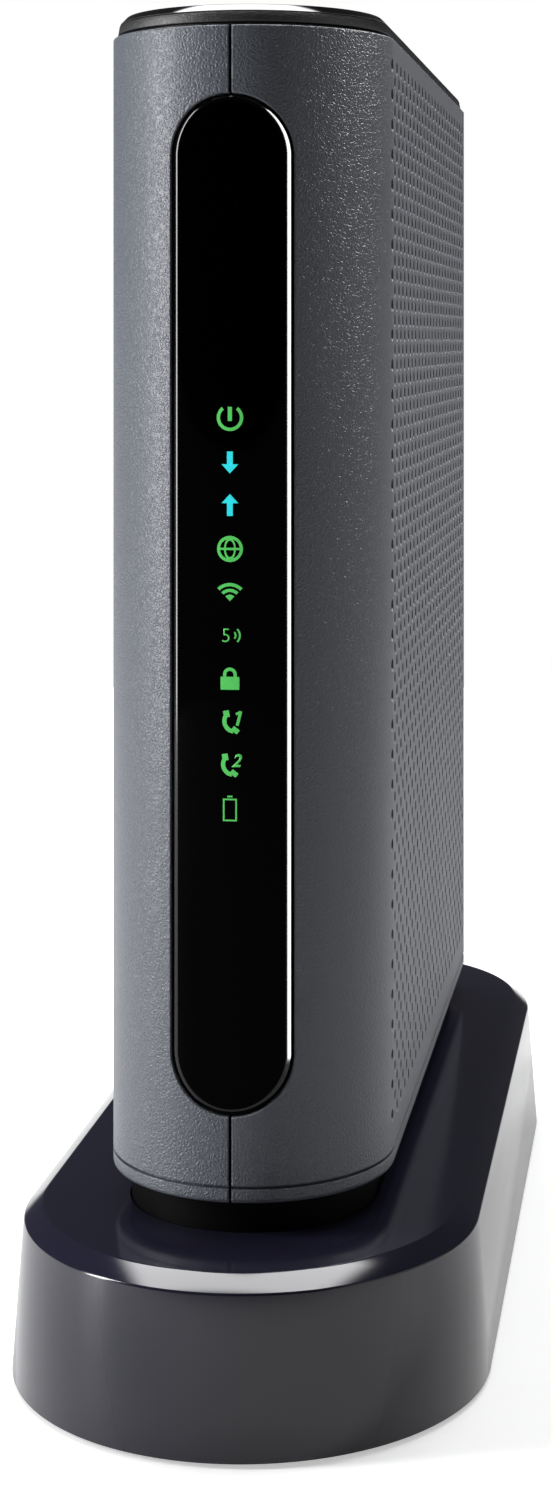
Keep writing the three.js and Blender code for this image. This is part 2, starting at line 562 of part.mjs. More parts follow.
// The neck hangs from the body's floor and is clamped under the deck by its flange.
const NECK_TOP = FLOOR_LOW - GAP;
const DECK_LOCAL = DECK - BODY_FOOT;
let neck = prism(bodyOutline(NECK_INSET), DECK_LOCAL - GAP - 0.2, NECK_TOP)
  .add(prism(bodyOutline(NECK_INSET - 4), DECK_LOCAL - GAP - 2, DECK_LOCAL - GAP))
  .subtract(prism(bodyOutline(NECK_INSET + 2.2), DECK_LOCAL - GAP - 3, NECK_TOP - 2.4));
for (const y of STAND_SCREWS) {
  neck = neck.subtract(rod(CLEARANCE_RADIUS, 'z', NECK_TOP - 4, NECK_TOP + 1, [0, y], 12));
}
piece(body, 'stand_neck', neck, BLACK_PLASTIC);

let plate = prism(standOutline(STAND_WALL + 0.6), PAD_STEP + 0.4, PLATE_TOP);
for (const [x, y] of PLATE_SCREWS) {
  plate = plate
    .subtract(rod(CLEARANCE_RADIUS, 'z', PAD_STEP - 1, PLATE_TOP + 1, [x, y], 12))
    .subtract(rod(PLATE_SCREW_HEAD + 0.6, 'z', PAD_STEP - 1, PAD_STEP + 1.6, [x, y], 16));
}
piece(modem, 'stand_plate', plate, BLACK_PLASTIC);

const PAD_RADIUS = 7;
const PAD_PLACES = [[-20, -80], [20, -80], [-20, 80], [20, 80]];
PAD_PLACES.forEach(([x, y], index) => {
  const pad = turned([[0, 0], [PAD_RADIUS - 0.4, 0], [PAD_RADIUS, 0.4], [PAD_RADIUS, 0.9], [0, 0.9]]);
  const mesh = piece(modem, `rubber_foot_${index + 1}`, pad, RUBBER, [x, y, 0]);
  mesh.rotation.x = Math.PI / 2;
});

// ---- Screws -------------------------------------------------------------------------
// A pan-head screw about +Y, its head towards +Y, with the head's underside at the origin.
function screw(headRadius, headHeight, shankRadius, length) {
  return turned([
    [0, -length], [shankRadius * 0.5, -length], [shankRadius, -length + 0.8], [shankRadius, 0],
    [headRadius, 0], [headRadius, headHeight * 0.5], [headRadius * 0.7, headHeight], [0, headHeight],
  ], 10).subtract(box([-headRadius * 0.6, headHeight - 0.6, -0.35], [headRadius * 0.6, headHeight + 1, 0.35]));
}
PANEL_SCREWS.forEach(([x, z], index) => {
  piece(rear, `panel_screw_${index + 1}`, screw(2.6, 1.5, 0.9, 8), STEEL, [x, 0.1, z]);
});
BOARD_SCREWS.forEach(([y, z], index) => {
  const boardScrew = screw(2.4, 1.3, 0.9, 6);
  const mesh = piece(body, `board_screw_${index + 1}`, boardScrew, STEEL, [BOARD_FACE + 0.1, y, z]);
  mesh.rotation.z = -Math.PI / 2;
});
STAND_SCREWS.forEach((y, index) => {
  const mesh = piece(body, `stand_screw_${index + 1}`, screw(2.8, 1.6, 1, 5), STEEL, [0, y, NECK_TOP - 2.5]);
  mesh.rotation.x = -Math.PI / 2;
});
PLATE_SCREWS.forEach(([x, y], index) => {
  const plateScrew = screw(PLATE_SCREW_HEAD, 1.4, 0.9, 7);
  const mesh = piece(modem, `plate_screw_${index + 1}`, plateScrew, STEEL, [x, y, PAD_STEP + 1.5]);
  mesh.rotation.x = -Math.PI / 2;
});

export default modem;
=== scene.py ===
"""An upright cable modem in a wide foot: the fine surface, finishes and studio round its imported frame."""
import math

import bmesh
import bpy
from bpy.props import FloatProperty, FloatVectorProperty, IntProperty, PointerProperty
from bpy.types import Operator, Panel, PropertyGroup
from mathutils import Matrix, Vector


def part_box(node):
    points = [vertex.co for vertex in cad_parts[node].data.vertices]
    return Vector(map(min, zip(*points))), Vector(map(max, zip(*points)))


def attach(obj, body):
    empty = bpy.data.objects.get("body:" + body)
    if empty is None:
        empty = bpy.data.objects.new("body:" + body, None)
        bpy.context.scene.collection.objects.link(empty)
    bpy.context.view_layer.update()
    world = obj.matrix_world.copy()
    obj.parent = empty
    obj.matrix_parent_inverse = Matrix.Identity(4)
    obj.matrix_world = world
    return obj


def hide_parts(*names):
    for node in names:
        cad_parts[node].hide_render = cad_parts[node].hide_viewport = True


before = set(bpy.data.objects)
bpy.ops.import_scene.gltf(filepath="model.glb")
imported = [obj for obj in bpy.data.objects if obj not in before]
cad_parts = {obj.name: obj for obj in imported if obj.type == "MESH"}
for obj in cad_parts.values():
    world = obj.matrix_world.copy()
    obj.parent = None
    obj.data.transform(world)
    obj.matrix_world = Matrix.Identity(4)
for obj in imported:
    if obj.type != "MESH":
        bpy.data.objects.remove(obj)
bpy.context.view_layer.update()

bl_info = {
    "name": "Upright Cable Modem",
    "version": (1, 0, 0),
    "blender": (4, 5, 0),
    "location": "3D View > Sidebar > Modem",
    "description": "Builds the shells, window, foot and rear fittings of an upright cable modem",
    "category": "Add Mesh",
}

MM = 0.001

# ---- Places read from the frame -------------------------------------------------------
BODY_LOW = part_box("right_shell")[0]
BODY_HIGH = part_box("right_shell")[1]
BODY_HALF = BODY_HIGH.x
STAND_LOW, STAND_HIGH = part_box("stand_shell")
NECK_LOW, NECK_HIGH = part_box("stand_neck")
LID_LOW, LID_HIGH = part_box("top_lid")
PLATE_LOW, PLATE_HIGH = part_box("lid_gloss_plate")
LENS_LOW, LENS_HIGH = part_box("display_lens")
PANEL_LOW, PANEL_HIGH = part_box("rear_panel")
BAFFLE_LOW, BAFFLE_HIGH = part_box("light_baffle")


# ---- Sizes and colours a user would change --------------------------------------------
def length(name, description, millimetres):
    """A length property with its default given in millimetres."""
    return FloatProperty(name=name, description=description, default=millimetres * MM,
                         min=0.0, unit="LENGTH", precision=5)


def colour(name, description, value):
    """A colour property, in linear light."""
    return FloatVectorProperty(name=name, description=description, default=value, size=3,
                               min=0.0, max=1.0, subtype="COLOR")


class ModemShellSettings(PropertyGroup):
    nose_depth: length("Nose Depth", "Depth of the half-elliptical front", 23.0)
    rear_corner: length("Rear Corner", "Radius of the rear corners", 6.0)
    wall: length("Wall", "Thickness of the shells", 2.2)
    seam: length("Seam", "Width of the joint line between the shells", 0.44)
    seam_chamfer: length("Seam Chamfer", "Chamfer on both sides of the joint line", 0.16)
    groove_low: length("Groove Foot", "Height of the shadow groove above the lower edge", 2.1)
    groove_high: length("Groove Top", "Upper side of the shadow groove above the lower edge", 2.5)
    groove_depth: length("Groove Depth", "Depth of the shadow groove", 0.7)
    hole_radius: length("Hole Radius", "Radius of a vent hole", 0.84)
    hole_flare: length("Hole Flare", "Depth of the widened mouth of a vent hole", 0.42)
    hole_scoop: length("Hole Scoop", "How far the mouth of a vent hole reaches down", 0.24)
    hole_pitch: length("Hole Pitch", "Distance between holes in one column", 4.44)
    column_pitch: length("Column Pitch", "Distance between two columns of holes", 2.96)
    hole_lowest: length("Lowest Hole", "Height of the lowest hole above the shell's foot", 7.7)
    hole_foremost: length("Foremost Hole", "Distance of the first column behind the front", 21.1)
    hole_rows: IntProperty(name="Hole Rows", description="Holes in the longer columns", default=36)
    hole_columns: IntProperty(name="Hole Columns", description="Longer columns of holes", default=23)
    shell_colour: colour("Shell Colour", "Blue-grey moulded plastic", (0.101, 0.110, 0.131))


class ModemTopSettings(PropertyGroup):
    band_inset: length("Band Inset", "How far the lid's band stands inside the shells", 0.7)
    band_lean: length("Band Lean", "How much the band leans in towards its top", 0.25)
    plate_inset: length("Plate Inset", "How far the plate's foot stands inside the shells", 1.0)
    plate_bevel: length("Plate Bevel", "Width and height of the plate's bevel", 1.0)


class ModemWindowSettings(PropertyGroup):
    rim_round: length("Rim Rounding", "Rounding of the window's edge", 0.95)
    seat_chamfer: length("Seat Chamfer", "Chamfer of the shells' edge round the window", 0.22)
    thickness: length("Thickness", "Thickness of the window", 1.1)
    seat_gap: length("Seat Gap", "Play between the window and its recess", 0.12)
    ledge: length("Ledge", "Width of the ledge that the window is glued to", 1.5)
    lit_green: colour("Lit Green", "Colour of the lit pictograms", (0.09, 0.53, 0.11))
    lit_cyan: colour("Lit Cyan", "Colour of the lit arrows", (0.03, 0.72, 0.78))


class ModemStandSettings(PropertyGroup):
    end_depth: length("End Depth", "How far the rounded ends reach along the foot", 40.7)
    edge_height: length("Edge Height", "Top of the leaning wall", 23.0)
    lean: length("Lean", "How much the wall leans in", 1.7)
    bevel: length("Bevel", "Width of the bevel round the deck", 2.8)
    wall: length("Wall", "Thickness of the foot's wall", 2.5)
    edge_round: length("Edge Rounding", "Rounding of the deck's and bevel's edges", 0.22)
    neck_inset: length("Neck Inset", "How far the neck stands inside the shells", 2.8)


class ModemStudioSettings(PropertyGroup):
    camera_place: FloatVectorProperty(
        name="Camera Place", description="Where the camera stands", size=3, subtype="TRANSLATION",
        default=(0.0636, -0.4772, 0.1522))
    camera_turn: FloatProperty(
        name="Camera Turn", description="Turn of the level camera about the upright axis",
        default=math.radians(8.28), subtype="ANGLE")
    lens: FloatProperty(name="Lens", description="Focal length in millimetres", default=67.2)
    lens_drop: FloatProperty(
        name="Lens Drop", description="How far the level lens is slid down, as a share of the picture",
        default=0.2733333, subtype="FACTOR")
    floor_size: length("Floor Size", "Radius of the round floor", 750.0)


# ---- Modelling by hand: select, shape, finish -----------------------------------------
def alone(obj):
    """Makes an object the only one selected, and the active one."""
    bpy.ops.object.select_all(action="DESELECT")
    obj.select_set(True)
    bpy.context.view_layer.objects.active = obj
    return obj


def new_piece(name):
    """Names the primitive that was just added."""
    obj = bpy.context.active_object
    obj.name = name
    obj.data.name = name
    return obj


def start_editing(obj):
    alone(obj)
    bpy.ops.object.mode_set(mode="EDIT")
    bpy.ops.mesh.select_all(action="SELECT")


def stop_editing():
    bpy.ops.object.mode_set(mode="OBJECT")


def settled(obj):
    """Moves an object's place, turn and scale into its mesh."""
    alone(obj)
    bpy.ops.object.transform_apply(location=True, rotation=True, scale=True)
    return obj


def middle_of(part):
    """The middle of a vertex, an edge or a face."""
    if isinstance(part, bmesh.types.BMVert):
        return part.co.copy()
    return sum((vertex.co for vertex in part.verts), Vector()) / len(part.verts)


def pick(obj, kind, test):
    """In edit mode, selects only the vertices, edges or faces that pass a test."""
    bpy.ops.mesh.select_mode(type=kind)
    bpy.ops.mesh.select_all(action="DESELECT")
    mesh = bmesh.from_edit_mesh(obj.data)
    parts = {"VERT": mesh.verts, "EDGE": mesh.edges, "FACE": mesh.faces}[kind]
    found = 0
    for part in parts:
        if test(part):
            part.select_set(True)
            found += 1
    if kind == "VERT":
        mesh.select_flush(True)
    bmesh.update_edit_mesh(obj.data)
    if found == 0:
        raise RuntimeError(f"{obj.name}: nothing there to select")


def near(value, target, reach=0.00002):
    return abs(value - target) < reach


def corner_angle(edge):
    """The angle between an edge's two faces, or none at an open edge."""
    return edge.calc_face_angle() if len(edge.link_faces) == 2 else 0.0


def bevel_picked(offset, segments=2):
    bpy.ops.mesh.bevel(offset=offset, segments=segments, affect="EDGES", offset_type="OFFSET",
                       profile=0.5, clamp_overlap=True)


def make_normals_face_out():
    bpy.ops.mesh.select_all(action="SELECT")
    bpy.ops.mesh.normals_make_consistent(inside=False)


def apply_modifier(obj, kind, **values):
    """Adds one modifier with these values and applies it."""
    alone(obj)
    bpy.ops.object.modifier_add(type=kind)
    modifier = obj.modifiers[-1]
    for key, value in values.items():
        setattr(modifier, key, value)
    bpy.ops.object.modifier_apply(modifier=modifier.name)
    return obj


def combine(obj, tool, operation):
    """Joins or cuts an object with a tool piece, which is used up."""
    apply_modifier(obj, "BOOLEAN", operation=operation, solver="MANIFOLD", object=tool)
    bpy.data.objects.remove(tool)
    if not obj.data.polygons:
        raise RuntimeError(f"{obj.name}: nothing was left by the {operation.lower()}")
    return obj


def cut(obj, *tools):
    for tool in tools:
        combine(obj, tool, "DIFFERENCE")
    return obj


def fuse(obj, *tools):
    for tool in tools:
        combine(obj, tool, "UNION")
    return obj


def joined(pieces, name):
    """Joins pieces into one object, which takes the name."""
    alone(pieces[0])
    for obj in pieces[1:]:
        obj.select_set(True)
    if len(pieces) > 1:
        bpy.ops.object.join()
    return new_piece(name)


def smooth(obj, degrees=35.0):
    alone(obj)
    bpy.ops.object.shade_smooth_by_angle(angle=math.radians(degrees))
    return obj


def hand_over(obj, material, body="modem", nodes=()):
    """Gives a finished piece its material and body, and hides the CAD nodes that it stands for."""
    obj.data.materials.clear()
    obj.data.materials.append(material)
    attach(obj, body)
    if nodes:
        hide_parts(*nodes)
    return obj


# ---- Blocks ---------------------------------------------------------------------------
def cuboid(name, low, high):
    """A box from its low corner to its high corner, which later steps cut with or shape."""
    low, high = Vector(low), Vector(high)
    bpy.ops.mesh.primitive_cube_add(size=1.0, location=(0, 0, 0))
    obj = new_piece(name)
    start_editing(obj)
    bpy.ops.transform.resize(value=high - low, center_override=(0, 0, 0))
    bpy.ops.transform.translate(value=(low + high) / 2)
    stop_editing()
    return obj


def bar_across(name, radius, start, end, centre, sides):
    """A round bar along X, from start to end, centred on a depth and a height."""
    bpy.ops.mesh.primitive_cylinder_add(vertices=sides, radius=radius, depth=end - start)
    obj = new_piece(name)
    obj.rotation_euler = (0, math.pi / 2, 0)
    obj.location = ((start + end) / 2, *centre)
    return settled(obj)


def body_face(name, inset, height, sides=128):
    """A flat face with the body's plan: half-elliptical nose, straight flanks, round rear corners."""
    shell = bpy.context.scene.modem_shell
    half = BODY_HALF - inset
    nose_end = BODY_LOW.y + shell.nose_depth
    back = BODY_HIGH.y - inset
    bpy.ops.mesh.primitive_circle_add(vertices=sides, radius=1.0, location=(0, 0, 0))
    obj = new_piece(name)
    start_editing(obj)
    bpy.ops.transform.resize(value=(half, shell.nose_depth - inset, 1), center_override=(0, 0, 0))
    bpy.ops.mesh.bisect(plane_co=(0, 0, 0), plane_no=(0, 1, 0), clear_outer=True)
    bpy.ops.mesh.select_all(action="SELECT")
    bpy.ops.transform.translate(value=(0, nose_end, height))
    pick(obj, "VERT", lambda v: near(v.co.y, nose_end))
    bpy.ops.mesh.extrude_region_move(TRANSFORM_OT_translate={"value": (0, back - nose_end, 0)})
    bpy.ops.mesh.select_all(action="SELECT")
    bpy.ops.mesh.edge_face_add()
    pick(obj, "VERT", lambda v: near(v.co.y, back))
    bpy.ops.mesh.bevel(offset=shell.rear_corner - inset, segments=10, affect="VERTICES")
    stop_editing()
    return obj


def raise_face(obj, rise):
    """Makes a solid of a flat face by extruding it upwards."""
    start_editing(obj)
    bpy.ops.mesh.extrude_region_move(TRANSFORM_OT_translate={"value": (0, 0, rise)})
    make_normals_face_out()
    stop_editing()
    return obj


def body_block(name, inset, low, high, sides=128):
    return raise_face(body_face(name, inset, low, sides), high - low)


def lean_up(obj, steps):
    """Makes a solid of a flat face by insets that rise: each step is (inwards, upwards)."""
    start_editing(obj)
    bpy.ops.mesh.select_mode(type="FACE")
    bpy.ops.mesh.select_all(action="SELECT")
    bpy.ops.mesh.normals_make_consistent(inside=False)
    mesh = bmesh.from_edit_mesh(obj.data)
    mesh.faces.ensure_lookup_table()
    if mesh.faces[0].normal.z < 0:
        bpy.ops.mesh.flip_normals()
    for inwards, upwards in steps:
        if inwards:
            bpy.ops.mesh.inset(thickness=inwards, depth=upwards, use_even_offset=True)
        else:
            bpy.ops.mesh.extrude_region_move(TRANSFORM_OT_translate={"value": (0, 0, upwards)})
    if steps[0][0]:
        pick(obj, "EDGE", lambda e: len(e.link_faces) == 1)
        bpy.ops.mesh.edge_face_add()
    make_normals_face_out()
    stop_editing()
    return obj


def round_edges_at(obj, heights, offset, segments=2):
    """Rounds the edges that run round an upright solid at these heights."""
    start_editing(obj)
    pick(obj, "EDGE", lambda e: any(near(e.verts[0].co.z, height) and near(e.verts[1].co.z, height)
                                    for height in heights) and corner_angle(e) > 0.2)
    bevel_picked(offset, segments)
    stop_editing()
    return obj


def slot_face(name, half_width, low, high, depth, sides=96):
    """A flat upright face with round ends, seen from the front, at one depth."""
    bpy.ops.mesh.primitive_circle_add(vertices=sides, radius=half_width, fill_type="NGON",
                                      rotation=(math.pi / 2, math.pi / sides, 0))
    obj = settled(new_piece(name))
    start_editing(obj)
    bpy.ops.transform.translate(value=(0, depth, low + half_width))
    pick(obj, "VERT", lambda v: v.co.z > low + half_width)
    bpy.ops.transform.translate(value=(0, 0, high - low - 2 * half_width))
    stop_editing()
    return obj


def slot_block(name, half_width, low, high, front, back):
    """An upright block with round ends, from one depth to another."""
    obj = slot_face(name, half_width, low, high, front)
    start_editing(obj)
    bpy.ops.mesh.extrude_region_move(TRANSFORM_OT_translate={"value": (0, back - front, 0)})
    make_normals_face_out()
    stop_editing()
    return obj


# ---- Shader groups shared by the materials --------------------------------------------
def link(tree, source, target):
    tree.links.new(source, target)


def node(tree, kind, inputs=(), **values):
    """Adds a node, with plain values and with inputs given as {name or index: value or socket}."""
    made = tree.nodes.new(kind)
    for key, value in values.items():
        setattr(made, key, value)
    for key, value in dict(inputs).items():
        if isinstance(value, bpy.types.NodeSocket):
            link(tree, value, made.inputs[key])
        else:
            made.inputs[key].default_value = value
    return made


def group(name, takes, gives):
    """An empty shader node group. takes lists (name, socket type, default) and gives (name, type)."""
    tree = bpy.data.node_groups.new(name, "ShaderNodeTree")
    for label, kind, default in takes:
        socket = tree.interface.new_socket(name=label, in_out="INPUT", socket_type=kind)
        if default is not None:
            socket.default_value = default
    for label, kind in gives:
        tree.interface.new_socket(name=label, in_out="OUTPUT", socket_type=kind)
    return tree, tree.nodes.new("NodeGroupInput").outputs, tree.nodes.new("NodeGroupOutput").inputs


def leather_grain_group():
    """Pebbled moulding grain: worm-like cells with creases between them, and a finer grit."""
    tree, given, out = group(
        "Leather Grain",
        [("Vector", "NodeSocketVector", None), ("Scale", "NodeSocketFloat", 1900.0),
         ("Grit", "NodeSocketFloat", 0.25)],
        [("Height", "NodeSocketFloat")])
    warp = node(tree, "ShaderNodeTexNoise", {"Vector": given["Vector"], "Scale": 900.0, "Detail": 2.0})
    warped = node(tree, "ShaderNodeVectorMath", {0: warp.outputs["Color"], 1: (0.0009, 0.0009, 0.0009)},
                  operation="MULTIPLY")
    place = node(tree, "ShaderNodeVectorMath", {0: given["Vector"], 1: warped.outputs[0]}, operation="ADD")
    cells = node(tree, "ShaderNodeTexVoronoi", {"Vector": place.outputs[0], "Scale": given["Scale"]},
                 feature="DISTANCE_TO_EDGE")
    crown = node(tree, "ShaderNodeMapRange", {"Value": cells.outputs["Distance"], "From Min": 0.0,
                                              "From Max": 0.32}, interpolation_type="SMOOTHERSTEP")
    grit = node(tree, "ShaderNodeTexNoise", {"Vector": given["Vector"], "Scale": 4200.0, "Detail": 3.0})
    mixed = node(tree, "ShaderNodeMix", {"Factor": given["Grit"], "A": crown.outputs["Result"],
                                         "B": grit.outputs["Fac"]})
    link(tree, mixed.outputs["Result"], out["Height"])
    return tree


def fine_grain_group():
    """Even spark-eroded grain, without cells."""
    tree, given, out = group(
        "Spark Grain",
        [("Vector", "NodeSocketVector", None), ("Scale", "NodeSocketFloat", 2600.0)],
        [("Height", "NodeSocketFloat")])
    noise = node(tree, "ShaderNodeTexNoise", {"Vector": given["Vector"], "Scale": given["Scale"],
                                              "Detail": 4.0, "Roughness": 0.6})
    link(tree, noise.outputs["Fac"], out["Height"])
    return tree


def handling_group():
    """Slow drift of colour and sheen over a surface, with a few fine rub marks and dust specks."""
    tree, given, out = group(
        "Handling",
        [("Vector", "NodeSocketVector", None), ("Colour", "NodeSocketColor", (0.5, 0.5, 0.5, 1.0)),
         ("Drift", "NodeSocketFloat", 0.1), ("Roughness", "NodeSocketFloat", 0.4),
         ("Spread", "NodeSocketFloat", 0.08)],
        [("Colour", "NodeSocketColor"), ("Roughness", "NodeSocketFloat")])
    slow = node(tree, "ShaderNodeTexNoise", {"Vector": given["Vector"], "Scale": 22.0, "Detail": 3.0})
    stretched = node(tree, "ShaderNodeMapping", {"Vector": given["Vector"], "Scale": (40.0, 40.0, 420.0)})
    rubs = node(tree, "ShaderNodeTexNoise", {"Vector": stretched.outputs[0], "Scale": 1.0, "Detail": 5.0})
    specks = node(tree, "ShaderNodeTexNoise", {"Vector": given["Vector"], "Scale": 620.0, "Detail": 1.0})
    speck = node(tree, "ShaderNodeMapRange", {"Value": specks.outputs["Fac"], "From Min": 0.7,
                                              "From Max": 0.8})
    offset = node(tree, "ShaderNodeMath", {0: slow.outputs["Fac"], 1: -0.5}, operation="ADD")
    gain = node(tree, "ShaderNodeMath", {0: offset.outputs[0], 1: given["Drift"], 2: 1.0},
                operation="MULTIPLY_ADD")
    tinted = node(tree, "ShaderNodeVectorMath", {0: given["Colour"], "Scale": gain.outputs[0]},
                  operation="SCALE")
    marks = node(tree, "ShaderNodeMath", {0: rubs.outputs["Fac"], 1: slow.outputs["Fac"]}, operation="ADD")
    centred = node(tree, "ShaderNodeMath", {0: marks.outputs[0], 1: -1.0}, operation="ADD")
    rough = node(tree, "ShaderNodeMath", {0: centred.outputs[0], 1: given["Spread"],
                                          2: given["Roughness"]}, operation="MULTIPLY_ADD")
    dusty = node(tree, "ShaderNodeMath", {0: speck.outputs["Result"], 1: given["Spread"],
                                          2: rough.outputs[0]}, operation="MULTIPLY_ADD",
                 use_clamp=True)
    link(tree, tinted.outputs[0], out["Colour"])
    link(tree, dusty.outputs[0], out["Roughness"])
    return tree


GROUPS = {}


def shared(name):
    """A shader group by its name, built the first time that a material asks for it."""
    makers = {"leather": leather_grain_group, "spark": fine_grain_group, "handling": handling_group}
    if name not in GROUPS:
        GROUPS[name] = makers[name]()
    return GROUPS[name]


def group_node(tree, name, inputs):
    made = tree.nodes.new("ShaderNodeGroup")
    made.node_tree = shared(name)
    for key, value in inputs.items():
        if isinstance(value, bpy.types.NodeSocket):
            link(tree, value, made.inputs[key])
        else:
            made.inputs[key].default_value = value
    return made


MATERIALS = {}
COAT_ROUGHNESS = 0.05


def finish(name, base, roughness, drift=0.1, spread=0.08, metallic=0.0, specular=0.5, grain="spark",
           grain_scale=2600.0, grain_depth=0.000006, coat=0.0, build=None):
    """A procedural finish on object coordinates. build may add to it before it is used."""
    if name in MATERIALS:
        return MATERIALS[name]
    material = bpy.data.materials.new(name)
    material.use_nodes = True
    tree = material.node_tree
    shader = tree.nodes["Principled BSDF"]
    place = node(tree, "ShaderNodeTexCoord").outputs["Object"]
    handled = group_node(tree, "handling", {
        "Vector": place, "Colour": (*base, 1.0), "Drift": drift, "Roughness": roughness,
        "Spread": spread})
    link(tree, handled.outputs["Colour"], shader.inputs["Base Color"])
    link(tree, handled.outputs["Roughness"], shader.inputs["Roughness"])
    shader.inputs["Metallic"].default_value = metallic
    shader.inputs["Specular IOR Level"].default_value = specular
    shader.inputs["Coat Weight"].default_value = coat
    shader.inputs["Coat Roughness"].default_value = COAT_ROUGHNESS
    grained = group_node(tree, grain, {"Vector": place, "Scale": grain_scale})
    bump = node(tree, "ShaderNodeBump", {"Strength": 1.0, "Distance": grain_depth,
                                         "Height": grained.outputs["Height"]})
    link(tree, bump.outputs["Normal"], shader.inputs["Normal"])
    if build:
        build(tree, shader, place, handled, grained, bump)
    MATERIALS[name] = material
    return material


GRAIN_FULL_TO = 0.55            # share of the nose's depth that has the full grain
FLANK_GRAIN = 0.12              # share of the grain that is left on the flanks
FLANK_MATTER_BY = 0.2           # how much rougher the flanks are than the nose


def shell_plastic():
    """Blue-grey plastic: leather grain on the nose that fades out along the flanks."""
    settings = bpy.context.scene.modem_shell

    def fade(tree, shader, place, handled, grained, bump):
        axes = node(tree, "ShaderNodeSeparateXYZ", {0: place})
        along = node(tree, "ShaderNodeMapRange", {
            "Value": axes.outputs["Y"], "From Min": BODY_LOW.y + settings.nose_depth * GRAIN_FULL_TO,
            "From Max": BODY_LOW.y + settings.nose_depth, "To Min": 1.0, "To Max": FLANK_GRAIN})
        faded = node(tree, "ShaderNodeMath", {0: grained.outputs["Height"], 1: along.outputs["Result"]},
                     operation="MULTIPLY")
        link(tree, faded.outputs[0], bump.inputs["Height"])
        flank = maths(tree, "SUBTRACT", 1.0, along.outputs["Result"])
        matt = maths(tree, "MULTIPLY_ADD", flank, FLANK_MATTER_BY, handled.outputs["Roughness"])
        link(tree, matt, shader.inputs["Roughness"])

    return finish("shell_plastic", settings.shell_colour, 0.36, drift=0.08, spread=0.06, specular=0.38,
                  grain="leather", grain_scale=1750.0, grain_depth=0.00006, build=fade)


def band_plastic():
    return finish("band_plastic", (0.012, 0.012, 0.0135), 0.42, grain="leather", grain_scale=2600.0,
                  grain_depth=0.00003)


def polished_black():
    return finish("polished_black", (0.004, 0.004, 0.0045), 0.06, spread=0.03, grain_scale=300.0,
                  grain_depth=0.0000004, coat=0.3)


def smoked_window():
    """The window's face, coated against reflections."""
    return finish("smoked_window", (0.0002, 0.0002, 0.00025), 0.05, spread=0.02, specular=0.015,
                  grain_scale=200.0, grain_depth=0.0000003)


def window_rim():
    """The window's polished rim, which has no coating."""
    return finish("window_rim", (0.0006, 0.0006, 0.0007), 0.1, spread=0.02, specular=0.22,
                  grain_scale=200.0, grain_depth=0.0000003)


def stand_plastic():
    return finish("stand_plastic", (0.0135, 0.013, 0.0265), 0.13, spread=0.05, specular=0.5,
                  grain_scale=500.0, grain_depth=0.0000008)


def moulded_black():
    return finish("moulded_black", (0.012, 0.012, 0.013), 0.46, grain_scale=2600.0, grain_depth=0.00001)


# Painted shade: the neck is coloured near-black and given almost no gloss, far darker than the other black
# mouldings, so it reads as the shade under the shells' lip.
def neck_plastic():
    return finish("neck_plastic", (0.0018, 0.0018, 0.0022), 0.6, specular=0.04, grain_depth=0.00001)


def jack_plastic():
    return finish("jack_plastic", (0.009, 0.009, 0.0095), 0.3, grain_scale=1800.0, grain_depth=0.000004)


def nickel_plate():
    return finish("nickel_plate", (0.55, 0.53, 0.48), 0.24, metallic=1.0, drift=0.15, grain_scale=900.0,
                  grain_depth=0.000002)


def gold_plate():
    return finish("gold_plate", (0.76, 0.52, 0.17), 0.22, metallic=1.0, drift=0.15, grain_scale=900.0,
                  grain_depth=0.000001)


def zinc_steel():
    return finish("zinc_steel", (0.34, 0.34, 0.36), 0.34, metallic=1.0, drift=0.2, spread=0.15,
                  grain_scale=1500.0, grain_depth=0.000003)


def pad_rubber():
    return finish("pad_rubber", (0.012, 0.012, 0.012), 0.85, specular=0.3, grain_scale=1500.0,
                  grain_depth=0.00002)


def lit(name, base, glow=0.48):
    """A printed pictogram lit from behind, a little uneven."""

    def light(tree, shader, place, handled, grained, bump):
        link(tree, handled.outputs["Colour"], shader.inputs["Emission Color"])
        shader.inputs["Emission Strength"].default_value = glow

    return finish(name, base, 0.4, drift=0.12, specular=0.2, grain_scale=1200.0,
                  grain_depth=0.000001, build=light)


def inner_finishes():
    """Finishes of the carried-over CAD nodes, by node."""
    board = finish("solder_mask", (0.012, 0.085, 0.03), 0.35, drift=0.5, coat=0.3, grain_scale=700.0,
                   grain_depth=0.00003)
    tin = finish("tinned_sheet", (0.5, 0.51, 0.52), 0.36, metallic=1.0, drift=0.2, grain_scale=400.0,
                 grain_depth=0.000006)
    return {
        "body_floor": moulded_black(), "icon_film": finish("smoked_film", (0.004, 0.004, 0.005), 0.35),
        "light_baffle": finish("white_moulding", (0.7, 0.7, 0.67), 0.5),
        "light_pipes": finish("clear_guide", (0.55, 0.63, 0.59), 0.12, specular=0.6),
        "led_board": board, "main_board": board, "front_aerial": board, "rear_aerial": board,
        "lower_aerial": board, "radio_shield": tin, "tuner_shield": tin,
        "heat_sink": finish("extruded_aluminium", (0.42, 0.43, 0.44), 0.38, metallic=1.0,
                            grain_scale=260.0, grain_depth=0.00002),
        "thermal_pad": finish("soft_silicone", (0.17, 0.11, 0.14), 0.8, grain_scale=900.0,
                              grain_depth=0.00003),
        "backup_battery": finish("battery_film", (0.006, 0.022, 0.075), 0.3, coat=0.5,
                                 grain_scale=300.0, grain_depth=0.00001),
        "front_aerial_lead": finish("lead_sleeve", (0.03, 0.03, 0.033), 0.5),
        "lower_aerial_lead": finish("lead_sleeve", (0.03, 0.03, 0.033), 0.5),
    }


